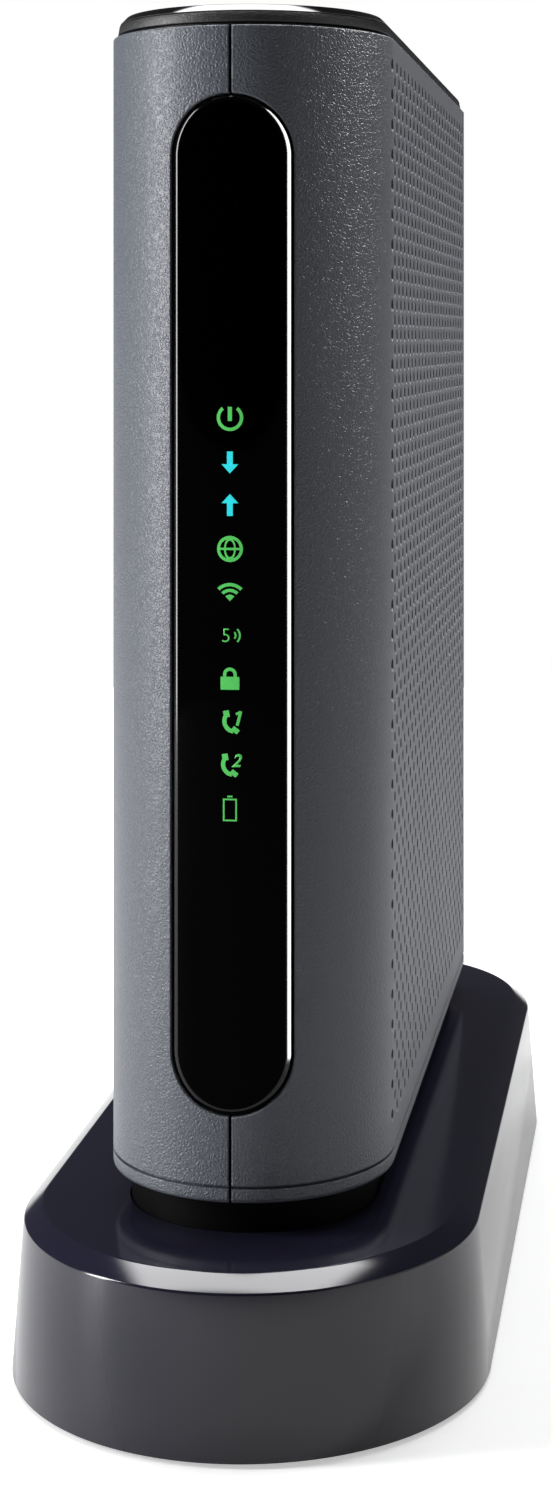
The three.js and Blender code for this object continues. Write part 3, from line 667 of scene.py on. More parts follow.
# ---- Shells ---------------------------------------------------------------------------
PAST = MM                       # how far a cutting piece reaches past what it cuts
PLAY = 0.3 * MM                 # play between moulded pieces
VENT_SIDES = 12
VENT_PAST_WALL = 0.5 * MM
VENT_PAST_SURFACE = 0.06 * MM
VENT_MOUTH_SPREAD = 1.06
SHELL_FOOT_ROUND = 0.7 * MM
SHELL_TOP_ROUND = 0.28 * MM
GROOVE_ROUND = 0.13 * MM
SEAM_PAST = 5 * MM
OPENING_REACH = 9 * MM
SEAT_STRIPS = 30
SHELL_SMOOTHING = 31
SHARP_CORNER = 0.7              # radians, between a groove's wall and the surface
UPRIGHT = 0.1                   # largest slope of a face that counts as upright
SQUARE_ON = 0.9                 # least share of a normal that counts as facing an axis


def vent_plugs(side):
    """The solid of all vent holes of one flank: plugs that flare at the outer surface."""
    shell = bpy.context.scene.modem_shell
    surface = side * BODY_HALF
    inner = surface - side * (shell.wall + VENT_PAST_WALL)
    shoulder = surface - side * shell.hole_flare
    mouth = surface + side * VENT_PAST_SURFACE
    first = (BODY_LOW.y + shell.hole_foremost, BODY_LOW.z + shell.hole_lowest)
    fields = []
    for column, rows, columns in ((0, shell.hole_rows, shell.hole_columns),
                                  (1, shell.hole_rows - 1, shell.hole_columns - 1)):
        centre = (first[0] + column * shell.column_pitch, first[1] + column * shell.hole_pitch / 2)
        plug = bar_across("vent_plug", shell.hole_radius, min(inner, shoulder), max(inner, shoulder),
                          centre, VENT_SIDES)
        start_editing(plug)
        pick(plug, "FACE", lambda f: near(middle_of(f).x, shoulder) and abs(f.normal.x) > SQUARE_ON)
        bpy.ops.mesh.extrude_region_move(
            TRANSFORM_OT_translate={"value": (mouth - shoulder, 0, 0)})
        bpy.ops.transform.resize(value=(1, VENT_MOUTH_SPREAD, 1 + shell.hole_scoop / shell.hole_radius),
                                 center_override=(mouth, *centre))
        bpy.ops.transform.translate(value=(0, 0, -shell.hole_scoop))
        make_normals_face_out()
        stop_editing()
        apply_modifier(plug, "ARRAY", count=rows, use_relative_offset=False, use_constant_offset=True,
                       constant_offset_displace=(0, 0, shell.hole_pitch))
        apply_modifier(plug, "ARRAY", count=columns, use_relative_offset=False, use_constant_offset=True,
                       constant_offset_displace=(0, 2 * shell.column_pitch, 0))
        fields.append(plug)
    return joined(fields, "vent_field")


def seam_tool():
    """The sheet that parts the two shells, widened at the nose to chamfer the joint's edges."""
    shell = bpy.context.scene.modem_shell
    reach = SEAM_PAST
    sheet = cuboid("seam_sheet", (-shell.seam / 2, BODY_LOW.y - reach, BODY_LOW.z - reach),
                   (shell.seam / 2, BODY_HIGH.y + reach, BODY_HIGH.z + reach))
    for depth in (BODY_LOW.y, BODY_HIGH.y):
        wedge = cuboid("seam_wedge", (-0.5, -0.5, BODY_LOW.z - reach), (0.5, 0.5, BODY_HIGH.z + reach))
        side = (shell.seam / 2 + shell.seam_chamfer) * math.sqrt(2)
        start_editing(wedge)
        bpy.ops.transform.resize(value=(side, side, 1), center_override=(0, 0, 0))
        bpy.ops.transform.rotate(value=math.pi / 4, orient_axis="Z", center_override=(0, 0, 0))
        bpy.ops.transform.translate(value=(0, depth, 0))
        stop_editing()
        fuse(sheet, wedge)
    return sheet


def shell_pair():
    """Both shells as one ring, parted along the seam afterwards."""
    shell = bpy.context.scene.modem_shell
    window = bpy.context.scene.modem_window
    groove = (BODY_LOW.z + shell.groove_low, BODY_LOW.z + shell.groove_high)
    ring = body_block("shell_ring", 0.0, BODY_LOW.z, BODY_HIGH.z)
    start_editing(ring)
    for height in groove:
        bpy.ops.mesh.select_all(action="SELECT")
        bpy.ops.mesh.bisect(plane_co=(0, 0, height), plane_no=(0, 0, 1))
    pick(ring, "FACE",
         lambda f: groove[0] < middle_of(f).z < groove[1] and abs(f.normal.z) < UPRIGHT)
    bpy.ops.mesh.extrude_region_shrink_fatten(
        TRANSFORM_OT_shrink_fatten={"value": -shell.groove_depth, "use_even_offset": True})
    stop_editing()
    round_edges_at(ring, (BODY_LOW.z,), SHELL_FOOT_ROUND, 4)
    round_edges_at(ring, (BODY_HIGH.z,), SHELL_TOP_ROUND, 3)
    start_editing(ring)
    pick(ring, "EDGE", lambda e: any(near(e.verts[0].co.z, z) and near(e.verts[1].co.z, z)
                                     for z in groove)
         and corner_angle(e) > SHARP_CORNER and outside_plan(middle_of(e), shell.groove_depth / 2))
    bevel_picked(GROOVE_ROUND, 2)
    stop_editing()
    cut(ring, body_block("shell_hollow", shell.wall, BODY_LOW.z - PAST, BODY_HIGH.z + PAST))
    opening = slot_block("lens_opening", LENS_HIGH.x - window.ledge, LENS_LOW.z + window.ledge,
                         LENS_HIGH.z - window.ledge, BODY_LOW.y - PAST, BODY_LOW.y + OPENING_REACH)
    rear = cuboid("panel_opening",
                  (PANEL_LOW.x - PLAY, BODY_HIGH.y - shell.rear_corner, PANEL_LOW.z - PLAY),
                  (PANEL_HIGH.x + PLAY, BODY_HIGH.y + PAST, PANEL_HIGH.z + PLAY))
    return cut(ring, window_seat(), opening, rear, seam_tool())


def window_seat():
    """The solid of the recess that holds the window, chamfered where it opens."""
    window = bpy.context.scene.modem_window
    chamfer = window.seat_chamfer
    mouth = window.seat_gap + chamfer
    floor = window.thickness + PLAY
    seat = slot_face("window_seat", LENS_HIGH.x + mouth, LENS_LOW.z - mouth, LENS_HIGH.z + mouth,
                     BODY_LOW.y - PAST)
    start_editing(seat)
    bpy.ops.mesh.select_mode(type="FACE")
    bpy.ops.mesh.extrude_region_move(TRANSFORM_OT_translate={"value": (0, PAST, 0)})
    bpy.ops.mesh.inset(thickness=chamfer, depth=0.0)
    bpy.ops.transform.translate(value=(0, chamfer, 0))
    bpy.ops.mesh.extrude_region_move(TRANSFORM_OT_translate={"value": (0, floor - chamfer, 0)})
    make_normals_face_out()
    stop_editing()
    return curve_with_nose(seat, SEAT_STRIPS, LENS_HIGH.x + mouth)


def slice_upright(strips, reach):
    """In edit mode, slices a piece into upright strips between -reach and reach."""
    for step in range(1, strips):
        bpy.ops.mesh.select_all(action="SELECT")
        bpy.ops.mesh.bisect(plane_co=(reach * (2 * step / strips - 1), 0, 0), plane_no=(1, 0, 0))


def curve_with_nose(obj, strips, reach):
    """Slices an upright piece with a flat front and lays it back along the nose's curve."""
    shell = bpy.context.scene.modem_shell
    start_editing(obj)
    slice_upright(strips, reach)
    mesh = bmesh.from_edit_mesh(obj.data)
    for vertex in mesh.verts:
        across = vertex.co.x / BODY_HALF
        vertex.co.y += shell.nose_depth * (1 - math.sqrt(1 - across * across))
    bmesh.update_edit_mesh(obj.data)
    stop_editing()
    return obj


def outside_plan(point, inset):
    """True where a point lies outside the body's plan less an inset."""
    shell = bpy.context.scene.modem_shell
    nose_end = BODY_LOW.y + shell.nose_depth
    if point.y < nose_end:
        across = point.x / (BODY_HALF - inset)
        along = (point.y - nose_end) / (shell.nose_depth - inset)
        return across * across + along * along > 1.0
    return abs(point.x) > BODY_HALF - inset or point.y > BODY_HIGH.y - inset


class MODEM_OT_shells(Operator):
    """Builds the two grained shells with their groove, window recess and vent holes"""
    bl_idname = "modem.shells"
    bl_label = "Shells"

    def execute(self, context):
        ring = shell_pair()
        start_editing(ring)
        pick(ring, "VERT", lambda v: v.co.x > 0)
        bpy.ops.mesh.separate(type="SELECTED")
        stop_editing()
        halves = [obj for obj in context.selected_objects if obj.type == "MESH"]
        if len(halves) != 2:
            raise RuntimeError("the seam didn't part the shells in two")
        for obj in halves:
            side = 1 if sum(v.co.x for v in obj.data.vertices) > 0 else -1
            word = "right" if side > 0 else "left"
            obj.name = f"{word}_half_shell"
            cut(obj, vent_plugs(side))
            smooth(obj, SHELL_SMOOTHING)
            apply_modifier(obj, "WEIGHTED_NORMAL", keep_sharp=True)
            hand_over(obj, shell_plastic(), nodes=[f"{word}_shell"])
        return {"FINISHED"}


LID_SHADOW_GAP = 0.5 * MM       # between the shells and the band
BAND_FOOT = 0.1 * MM            # upright part of the band
BAND_FOOT_ROUND = 0.12 * MM
BAND_TOP_ROUND = 0.1 * MM
SKIRT_OVERLAP = 0.2 * MM
SKIRT_WALL = 1.5 * MM
PLATE_FOOT_ROUND = 0.08 * MM
PLATE_TOP_ROUND = 0.12 * MM
CRISP = 25                      # smoothing angle of pieces with long flat bevels


class MODEM_OT_top(Operator):
    """Builds the grained band of the lid and the polished plate in it"""
    bl_idname = "modem.top"
    bl_label = "Lid"

    def execute(self, context):
        top = context.scene.modem_top
        shell = context.scene.modem_shell
        foot = BODY_HIGH.z + LID_SHADOW_GAP
        band = body_face("lid_band", top.band_inset, foot)
        lean_up(band, [(0, BAND_FOOT), (top.band_lean, LID_HIGH.z - foot - BAND_FOOT)])
        round_edges_at(band, (foot,), BAND_FOOT_ROUND, 2)
        round_edges_at(band, (LID_HIGH.z,), BAND_TOP_ROUND, 2)
        skirt = body_block("lid_skirt", shell.wall + PLAY, LID_LOW.z, foot + SKIRT_OVERLAP)
        cut(skirt, body_block("lid_hollow", shell.wall + PLAY + SKIRT_WALL, LID_LOW.z - PAST, foot))
        fuse(band, skirt)
        hand_over(smooth(band), band_plastic(), nodes=["top_lid"])
        plate = body_face("polished_plate", top.plate_inset, PLATE_LOW.z)
        lean_up(plate, [(top.plate_bevel, PLATE_HIGH.z - PLATE_LOW.z)])
        round_edges_at(plate, (PLATE_LOW.z,), PLATE_FOOT_ROUND, 1)
        round_edges_at(plate, (PLATE_HIGH.z,), PLATE_TOP_ROUND, 2)
        hand_over(smooth(plate, CRISP), polished_black(), nodes=["lid_gloss_plate"])
        return {"FINISHED"}


# ---- Window and pictograms ------------------------------------------------------------
PANE_STRIPS = 28
RIM_STEPS = 6
RIM_STARTS = 0.01 * MM
NOSE_SKIN_SIDES = 512
SIGN_STRIPS = 16
SIGN_REACH = 2.2 * MM
SIGN_RISE = 0.02 * MM
SIGN_THICKNESS = 0.015 * MM
SIGN_MARGIN = 4.6 * MM          # from the baffle's ends to the outermost signs
SIGN_DROP = 0.24 * MM


def wrap_on_nose(obj, rise, strips, reach):
    """Slices a flat upright piece and lays it on the nose, proud by rise."""
    start_editing(obj)
    slice_upright(strips, reach)
    stop_editing()
    skin = body_block("nose_skin", -rise, BODY_LOW.z, BODY_HIGH.z, sides=NOSE_SKIN_SIDES)
    apply_modifier(obj, "SHRINKWRAP", target=skin, wrap_method="PROJECT", use_project_x=False,
                   use_project_y=True, use_project_z=False, use_positive_direction=True,
                   use_negative_direction=True)
    bpy.data.objects.remove(skin)
    return obj


def face_forward(obj):
    """Turns the normals of a flat front piece towards the front."""
    start_editing(obj)
    bpy.ops.mesh.normals_make_consistent(inside=False)
    mesh = bmesh.from_edit_mesh(obj.data)
    backwards = sum(face.normal.y * face.calc_area() for face in mesh.faces) > 0
    if backwards:
        bpy.ops.mesh.flip_normals()
    stop_editing()
    return obj


class MODEM_OT_window(Operator):
    """Builds the smoked window, curved with the nose and rounded at its rim"""
    bl_idname = "modem.window"
    bl_label = "Window"

    def execute(self, context):
        window = context.scene.modem_window
        pane = slot_block("smoked_window", LENS_HIGH.x, LENS_LOW.z, LENS_HIGH.z, BODY_LOW.y,
                          BODY_LOW.y + window.thickness)
        start_editing(pane)
        pick(pane, "EDGE", lambda e: all(near(v.co.y, BODY_LOW.y) for v in e.verts))
        bevel_picked(window.rim_round, RIM_STEPS)
        stop_editing()
        curve_with_nose(pane, PANE_STRIPS, LENS_HIGH.x)
        hand_over(smooth(pane), smoked_window(), nodes=["display_lens"])
        pane.data.materials.append(window_rim())
        start_editing(pane)
        pick(pane, "FACE", lambda f: not outside_plan(middle_of(f), RIM_STARTS))
        pane.active_material_index = 1
        bpy.ops.object.material_slot_assign()
        stop_editing()
        return {"FINISHED"}


ICON_PLANE = BODY_LOW.y - MM


def flat_bar(width, height, x=0.0, z=0.0, turn=0.0, corner=0.0):
    """A flat upright rectangle, turned clockwise about its middle, with rounded corners."""
    bpy.ops.mesh.primitive_plane_add(size=1.0, rotation=(math.pi / 2, 0, 0))
    obj = settled(new_piece("bar"))
    start_editing(obj)
    bpy.ops.transform.resize(value=(width, 1, height), center_override=(0, 0, 0))
    if corner:
        bpy.ops.mesh.bevel(offset=corner, segments=4, affect="VERTICES")
    stop_editing()
    obj.rotation_euler = (0, turn, 0)
    obj.location = (x, ICON_PLANE, z)
    return settled(obj)


def flat_arc(radius, stroke, x=0.0, z=0.0, low=0.0, high=360.0, squeeze=1.0, sides=48):
    """A flat ring or a stretch of one, with angles counted from +X towards +Z."""
    bpy.ops.mesh.primitive_circle_add(vertices=sides, radius=radius, fill_type="NGON",
                                      rotation=(math.pi / 2, 0, 0))
    obj = settled(new_piece("arc"))
    start_editing(obj)
    bpy.ops.mesh.select_mode(type="FACE")
    bpy.ops.mesh.select_all(action="SELECT")
    bpy.ops.mesh.inset(thickness=min(stroke, radius * 0.999), depth=0.0)
    bpy.ops.mesh.delete(type="FACE")
    if high - low < 360.0:
        pick(obj, "FACE", lambda f: (math.degrees(math.atan2(middle_of(f).z, middle_of(f).x)) - low)
             % 360 > high - low)
        bpy.ops.mesh.delete(type="FACE")
    bpy.ops.mesh.select_all(action="SELECT")
    bpy.ops.transform.resize(value=(squeeze, 1, 1), center_override=(0, 0, 0))
    stop_editing()
    obj.location = (x, ICON_PLANE, z)
    return settled(obj)


def flat_frame(width, height, stroke, z):
    """A flat upright rectangular outline."""
    obj = flat_bar(width, height, z=z)
    start_editing(obj)
    bpy.ops.mesh.select_mode(type="FACE")
    bpy.ops.mesh.select_all(action="SELECT")
    bpy.ops.mesh.inset(thickness=stroke, depth=0.0)
    bpy.ops.mesh.delete(type="FACE")
    stop_editing()
    return obj


def flat_triangle(width, height, z, points_up):
    """A flat upright triangle whose base stands at z."""
    bpy.ops.mesh.primitive_circle_add(vertices=3, radius=1.0, fill_type="NGON",
                                      rotation=(math.pi / 2, 0, 0))
    obj = settled(new_piece("triangle"))
    low = min(v.co.z for v in obj.data.vertices)
    high = max(v.co.z for v in obj.data.vertices)
    tip_up = sum(near(v.co.z, low, 0.1) for v in obj.data.vertices) == 2
    flip = 1 if tip_up == points_up else -1
    start_editing(obj)
    bpy.ops.transform.translate(value=(0, 0, -low if tip_up else -high))
    bpy.ops.transform.resize(value=(width / math.sqrt(3), 1, flip * height / 1.5),
                             center_override=(0, 0, 0))
    bpy.ops.transform.translate(value=(0, ICON_PLANE, z))
    stop_editing()
    return obj


def flat_figure(text, height, x, z, slant=0.0, weight=0.0):
    """A numeral made a flat upright mesh, centred on a point."""
    bpy.ops.object.select_all(action="DESELECT")
    bpy.ops.object.text_add(rotation=(math.pi / 2, 0, 0))
    figure = bpy.context.active_object
    figure.data.body = text
    figure.data.shear = slant
    figure.data.offset = weight
    figure.data.resolution_u = 4
    bpy.ops.object.convert(target="MESH")
    obj = new_piece("figure")
    bpy.ops.object.transform_apply(location=True, rotation=True, scale=True)
    low = Vector((min(v.co.x for v in obj.data.vertices), 0, min(v.co.z for v in obj.data.vertices)))
    high = Vector((max(v.co.x for v in obj.data.vertices), 0, max(v.co.z for v in obj.data.vertices)))
    start_editing(obj)
    bpy.ops.transform.translate(value=-(low + high) / 2)
    factor = height / (high.z - low.z)
    bpy.ops.transform.resize(value=(factor, 1, factor), center_override=(0, 0, 0))
    bpy.ops.transform.translate(value=(x, ICON_PLANE, z))
    bpy.ops.mesh.remove_doubles(threshold=0.003 * MM)
    stop_editing()
    return obj


# Each sign is drawn in millimetres about its own middle, at the height z.
def power_sign(z):
    ring = z + 0.22 * MM
    return [flat_arc(1.9 * MM, 0.47 * MM, z=ring, low=130, high=410),
            flat_bar(0.6 * MM, 2.0 * MM, z=ring + 0.53 * MM)]


def arrow_sign(z, up):
    way = 1 if up else -1
    z += 0.1 * MM if up else 0.0
    return [flat_triangle(2.4 * MM, 1.3 * MM, z + way * 0.25 * MM, up),
            flat_bar(0.84 * MM, 1.9 * MM, z=z - way * 0.6 * MM)]


def globe_sign(z):
    return [flat_arc(1.85 * MM, 0.42 * MM, z=z),
            flat_arc(1.6 * MM, 0.44 * MM, z=z, squeeze=0.52),
            flat_bar(3.1 * MM, 0.32 * MM, z=z)]


def wireless_sign(z):
    foot = z - 1.25 * MM
    return [flat_arc(2.55 * MM, 0.46 * MM, z=foot, low=45, high=135, sides=64),
            flat_arc(1.72 * MM, 0.44 * MM, z=foot, low=45, high=135, sides=64),
            flat_arc(0.9 * MM, 0.9 * MM, z=foot, low=45, high=135, sides=64)]


def five_sign(z):
    return [flat_figure("5", 1.9 * MM, -0.55 * MM, z, weight=-0.012),
            flat_arc(0.75 * MM, 0.24 * MM, 0.2 * MM, z, low=-45, high=45),
            flat_arc(1.4 * MM, 0.26 * MM, 0.15 * MM, z, low=-45, high=45)]


def padlock_sign(z):
    foot = z - 1.57 * MM
    shackle = foot + 2.16 * MM
    return [flat_bar(2.7 * MM, 1.83 * MM, z=foot + 0.915 * MM, corner=0.12 * MM),
            flat_arc(0.98 * MM, 0.46 * MM, z=shackle, low=0, high=180),
            flat_bar(0.46 * MM, 0.36 * MM, 0.75 * MM, shackle - 0.17 * MM),
            flat_bar(0.46 * MM, 0.36 * MM, -0.75 * MM, shackle - 0.17 * MM)]


def handset(x, z):
    """A telephone handset seen from the side, its middle at the upper left."""
    return [flat_arc(1.75 * MM, 0.6 * MM, x + 0.75 * MM, z + 0.11 * MM, low=142, high=262),
            flat_bar(0.85 * MM, 0.95 * MM, x - 0.4 * MM, z + 1.12 * MM, math.radians(-10), 0.1 * MM),
            flat_bar(1.05 * MM, 0.72 * MM, x + 0.88 * MM, z - 1.16 * MM, math.radians(38), 0.1 * MM)]


def line_one_sign(z):
    """A handset and a slanted figure one, made of a stem and a flag."""
    slant = math.radians(14)
    return handset(-0.1 * MM, z) + [
        flat_bar(0.42 * MM, 2.1 * MM, 1.3 * MM, z + 0.5 * MM, slant),
        flat_bar(0.34 * MM, 0.75 * MM, 1.2 * MM, z + 1.26 * MM, math.radians(62))]


def line_two_sign(z):
    return handset(-0.28 * MM, z) + [flat_figure("2", 1.85 * MM, 1.0 * MM, z + 0.66 * MM, 0.3, 0.02)]


def battery_sign(z):
    return [flat_frame(2.0 * MM, 3.2 * MM, 0.22 * MM, z - 0.22 * MM),
            flat_bar(0.75 * MM, 0.24 * MM, z=z + 1.68 * MM)]


class MODEM_OT_pictograms(Operator):
    """Builds the ten lit pictograms, laid on the window's curve"""
    bl_idname = "modem.pictograms"
    bl_label = "Pictograms"

    def execute(self, context):
        window = context.scene.modem_window
        green = lit("lit_green", window.lit_green)
        cyan = lit("lit_cyan", window.lit_cyan)
        signs = [("battery", battery_sign),
                 ("line_2", line_two_sign), ("line_1", line_one_sign), ("padlock", padlock_sign),
                 ("five_ghz", five_sign), ("wireless", wireless_sign), ("online", globe_sign),
                 ("upstream", lambda z: arrow_sign(z, True)),
                 ("downstream", lambda z: arrow_sign(z, False)), ("power", power_sign)]
        lowest = BAFFLE_LOW.z + SIGN_MARGIN - SIGN_DROP
        pitch = (BAFFLE_HIGH.z - BAFFLE_LOW.z - 2 * SIGN_MARGIN) / (len(signs) - 1)
        for index, (word, draw) in enumerate(signs):
            sign = joined(draw(lowest + index * pitch), f"pictogram_{word}")
            wrap_on_nose(sign, SIGN_RISE, SIGN_STRIPS, SIGN_REACH)
            face_forward(sign)
            apply_modifier(sign, "SOLIDIFY", thickness=SIGN_THICKNESS, offset=-1.0)
            arrow = word.endswith("stream")
            hand_over(sign, cyan if arrow else green)
        return {"FINISHED"}


# ---- Stand ----------------------------------------------------------------------------
STAND_FOOT_ROUND = 0.3 * MM
HOLLOW_PAST = 0.5 * MM
HOLLOW_SLOPE = 2 * MM           # sloping corner between the hollow's wall and ceiling
NECK_INTO_STAND = 0.5 * MM
FLANGE_WIDTH = 4 * MM
NECK_CEILING = 2.4 * MM


def stand_face(name, inset, height, sides=160):
    """A flat face with the foot's plan: straight sides and half-elliptical ends."""
    stand = bpy.context.scene.modem_stand
    straight = STAND_HIGH.y - stand.end_depth
    bpy.ops.mesh.primitive_circle_add(vertices=sides, radius=1.0, location=(0, 0, 0),
                                      rotation=(0, 0, math.pi / sides), fill_type="NGON")
    obj = settled(new_piece(name))
    start_editing(obj)
    bpy.ops.transform.resize(value=(STAND_HIGH.x - inset, stand.end_depth - inset, 1),
                             center_override=(0, 0, 0))
    for side in (1, -1):
        pick(obj, "VERT", lambda v: v.co.y * side > 0)
        bpy.ops.transform.translate(value=(0, side * straight, 0))
    bpy.ops.mesh.select_all(action="SELECT")
    bpy.ops.transform.translate(value=(0, 0, height))
    stop_editing()
    return obj


class MODEM_OT_stand(Operator):
    """Builds the glossy foot with its leaning wall and bevelled deck, and the neck in it"""
    bl_idname = "modem.stand"
    bl_label = "Stand"

    def execute(self, context):
        stand = context.scene.modem_stand
        shell = context.scene.modem_shell
        foot = stand_face("stand_moulding", 0.0, STAND_LOW.z)
        lean_up(foot, [(stand.lean, stand.edge_height - STAND_LOW.z),
                       (stand.bevel, STAND_HIGH.z - stand.edge_height)])
        round_edges_at(foot, (stand.edge_height, STAND_HIGH.z), stand.edge_round, 3)
        round_edges_at(foot, (STAND_LOW.z,), STAND_FOOT_ROUND, 2)
        ceiling = STAND_HIGH.z - stand.wall
        hollow = stand_face("stand_hollow", stand.wall, STAND_LOW.z - HOLLOW_PAST)
        lean_up(hollow, [(stand.lean, ceiling - HOLLOW_SLOPE - STAND_LOW.z + HOLLOW_PAST),
                         (HOLLOW_SLOPE, HOLLOW_SLOPE)])
        opening = body_block("neck_opening", stand.neck_inset - PLAY, ceiling - PAST,
                             STAND_HIGH.z + PAST)
        cut(foot, hollow, opening)
        hand_over(smooth(foot, CRISP), stand_plastic(), nodes=["stand_shell"])
        neck = body_block("neck_moulding", stand.neck_inset, ceiling - NECK_INTO_STAND, NECK_HIGH.z)
        flange = body_block("neck_flange", stand.neck_inset - FLANGE_WIDTH, NECK_LOW.z, ceiling - PLAY)
        hollow = body_block("neck_hollow", stand.neck_inset + shell.wall, NECK_LOW.z - PAST,
                            NECK_HIGH.z - NECK_CEILING)
        fuse(neck, flange)
        cut(neck, hollow)
        # The neck takes painted shade: near-black and nearly without gloss.
        hand_over(smooth(neck), neck_plastic(), nodes=["stand_neck"])
        return {"FINISHED"}


# ---- CAD nodes carried over with rounded edges ----------------------------------------
MERGE_REACH = 0.002 * MM
FLAT_WITHIN = math.radians(1.0)
ROUNDED_ABOVE = math.radians(40)

SPRING_PITCH = 1.02 * MM        # between two contacts
SPRING_BACK = 9.5 * MM          # depth of a contact's rear end in its jack
SPRING_FRONT = 1.2 * MM
SPRING_HALF_WIDTH = 0.18 * MM
SPRING_LOW = 0.35 * MM          # a contact's two sides, from the mouth's wall
SPRING_HIGH = 0.65 * MM
SPRING_LIFT = 2.2 * MM          # how far its sprung end stands into the mouth
SPRING_HOOK = (-0.2 * MM, 0.5 * MM, 0)
SPRING_ROUND = 0.06 * MM

DIGIT_HEIGHT = 2.2 * MM
INK_RISE = 0.03 * MM
INK_THICKNESS = 0.025 * MM


def refined(node_name, piece_name, offset):
    """A copy of a CAD node with its triangles merged and its edges rounded."""
    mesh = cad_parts[node_name].data.copy()
    obj = bpy.data.objects.new(piece_name, mesh)
    bpy.context.scene.collection.objects.link(obj)
    start_editing(obj)
    bpy.ops.mesh.remove_doubles(threshold=MERGE_REACH)
    bpy.ops.mesh.dissolve_limited(angle_limit=FLAT_WITHIN)
    stop_editing()
    apply_modifier(obj, "BEVEL", width=offset, segments=2, limit_method="ANGLE",
                   angle_limit=ROUNDED_ABOVE, use_clamp_overlap=True)
    smooth(obj)
    return apply_modifier(obj, "WEIGHTED_NORMAL", keep_sharp=True)


class MODEM_OT_rear(Operator):
    """Builds the rear panel and its connectors, switch, buttons and screws"""
    bl_idname = "modem.rear"
    bl_label = "Rear Fittings"

    def execute(self, context):
        fixed = [("rear_panel", "panel_moulding", 0.18, moulded_black, "black_plastic"),
                 ("switch_housing", "switch_bezel", 0.25, jack_plastic, "jack_black"),
                 ("coax_socket", "coax_thread", 0.08, nickel_plate, "nickel"),
                 ("coax_nut", "coax_hex_nut", 0.2, nickel_plate, "nickel"),
                 ("power_inlet", "inlet_block", 0.12, jack_plastic, "jack_black"),
                 ("pairing_switch", "pairing_contact", 0.12, jack_plastic, "jack_black"),
                 ("reset_switch", "reset_contact", 0.12, jack_plastic, "jack_black")]
        fixed += [(f"lan_jack_{n}", f"lan_socket_{n}", 0.15, jack_plastic, "jack_black")
                  for n in range(1, 5)]
        fixed += [(f"phone_jack_{n}", f"phone_socket_{n}", 0.15, jack_plastic, "jack_black")
                  for n in range(1, 3)]
        fixed += [(f"panel_screw_{n}", f"panel_screw_head_{n}", 0.12, zinc_steel, "screw_steel")
                  for n in range(1, 3)]
        for source, name, offset, material, slot in fixed:
            hand_over(refined(source, name, offset * MM), material(), nodes=[source])
        moving = [("power_rocker", "rocker_key", 0.3, moulded_black, "rocker"),
                  ("pairing_button", "pairing_key", 0.25, moulded_black, "pairing"),
                  ("reset_button", "reset_pin", 0.1, moulded_black, "reset")]
        for source, name, offset, material, body in moving:
            hand_over(refined(source, name, offset * MM), material(), body, [source])
        self.contacts()
        self.numbers()
        return {"FINISHED"}

    def contacts(self):
        """Sprung gold wires in the mouths of the modular jacks, opposite the latch notch."""
        jacks = [(f"lan_jack_{n}", 8, 4.3) for n in range(1, 5)]
        jacks += [(f"phone_jack_{n}", 4, 3.7) for n in range(1, 3)]
        for jack, count, half_mouth in jacks:
            low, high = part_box(jack)
            middle = (low + high) / 2
            wires = []
            for index in range(count):
                z = middle.z + (index - (count - 1) / 2) * SPRING_PITCH
                x = middle.x - half_mouth * MM
                wire = cuboid("wire", (x + SPRING_LOW, high.y - SPRING_BACK, z - SPRING_HALF_WIDTH),
                              (x + SPRING_HIGH, high.y - SPRING_FRONT, z + SPRING_HALF_WIDTH))
                start_editing(wire)
                pick(wire, "FACE", lambda f: f.normal.y < -SQUARE_ON)
                bpy.ops.transform.translate(value=(SPRING_LIFT, 0, 0))
                pick(wire, "FACE", lambda f: f.normal.y > SQUARE_ON)
                bpy.ops.mesh.extrude_region_move(TRANSFORM_OT_translate={"value": SPRING_HOOK})
                stop_editing()
                wires.append(wire)
            wires = joined(wires, f"{jack}_contacts")
            apply_modifier(wires, "BEVEL", width=SPRING_ROUND, segments=2, limit_method="ANGLE",
                           angle_limit=ROUNDED_ABOVE)
            hand_over(smooth(wires), gold_plate())

    def numbers(self):
        """Printed numbers on the panel, beside each network and telephone jack."""
        ink = finish("printed_ink", (0.6, 0.6, 0.58), 0.5, drift=0.2, grain_scale=1800.0)
        printed = [(f"lan_jack_{n}", str(n)) for n in range(1, 5)]
        printed += [(f"phone_jack_{n}", str(n)) for n in range(1, 3)]
        for jack, text in printed:
            low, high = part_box(jack)
            x = (high.x + PANEL_HIGH.x) / 2
            number = flat_figure(text, DIGIT_HEIGHT, -x, (low.z + high.z) / 2)
            start_editing(number)
            bpy.ops.transform.rotate(value=math.pi, orient_axis="Z", center_override=(0, 0, 0))
            bpy.ops.transform.translate(value=(0, PANEL_HIGH.y + INK_RISE + ICON_PLANE, 0))
            bpy.ops.mesh.extrude_region_move(TRANSFORM_OT_translate={"value": (0, -INK_THICKNESS, 0)})
            make_normals_face_out()
            stop_editing()
            hand_over(joined([number], f"{jack}_number"), ink)


class MODEM_OT_underside(Operator):
    """Builds the bottom plate, rubber pads and hidden screws with rounded edges"""
    bl_idname = "modem.underside"
    bl_label = "Underside"

    def execute(self, context):
        hand_over(refined("stand_plate", "bottom_plate", 0.25 * MM), moulded_black(),
                  nodes=["stand_plate"])
        for n in range(1, 5):
            hand_over(refined(f"rubber_foot_{n}", f"rubber_pad_{n}", 0.12 * MM), pad_rubber(),
                      nodes=[f"rubber_foot_{n}"])
            hand_over(refined(f"plate_screw_{n}", f"plate_screw_head_{n}", 0.12 * MM), zinc_steel(),
                      nodes=[f"plate_screw_{n}"])
        return {"FINISHED"}


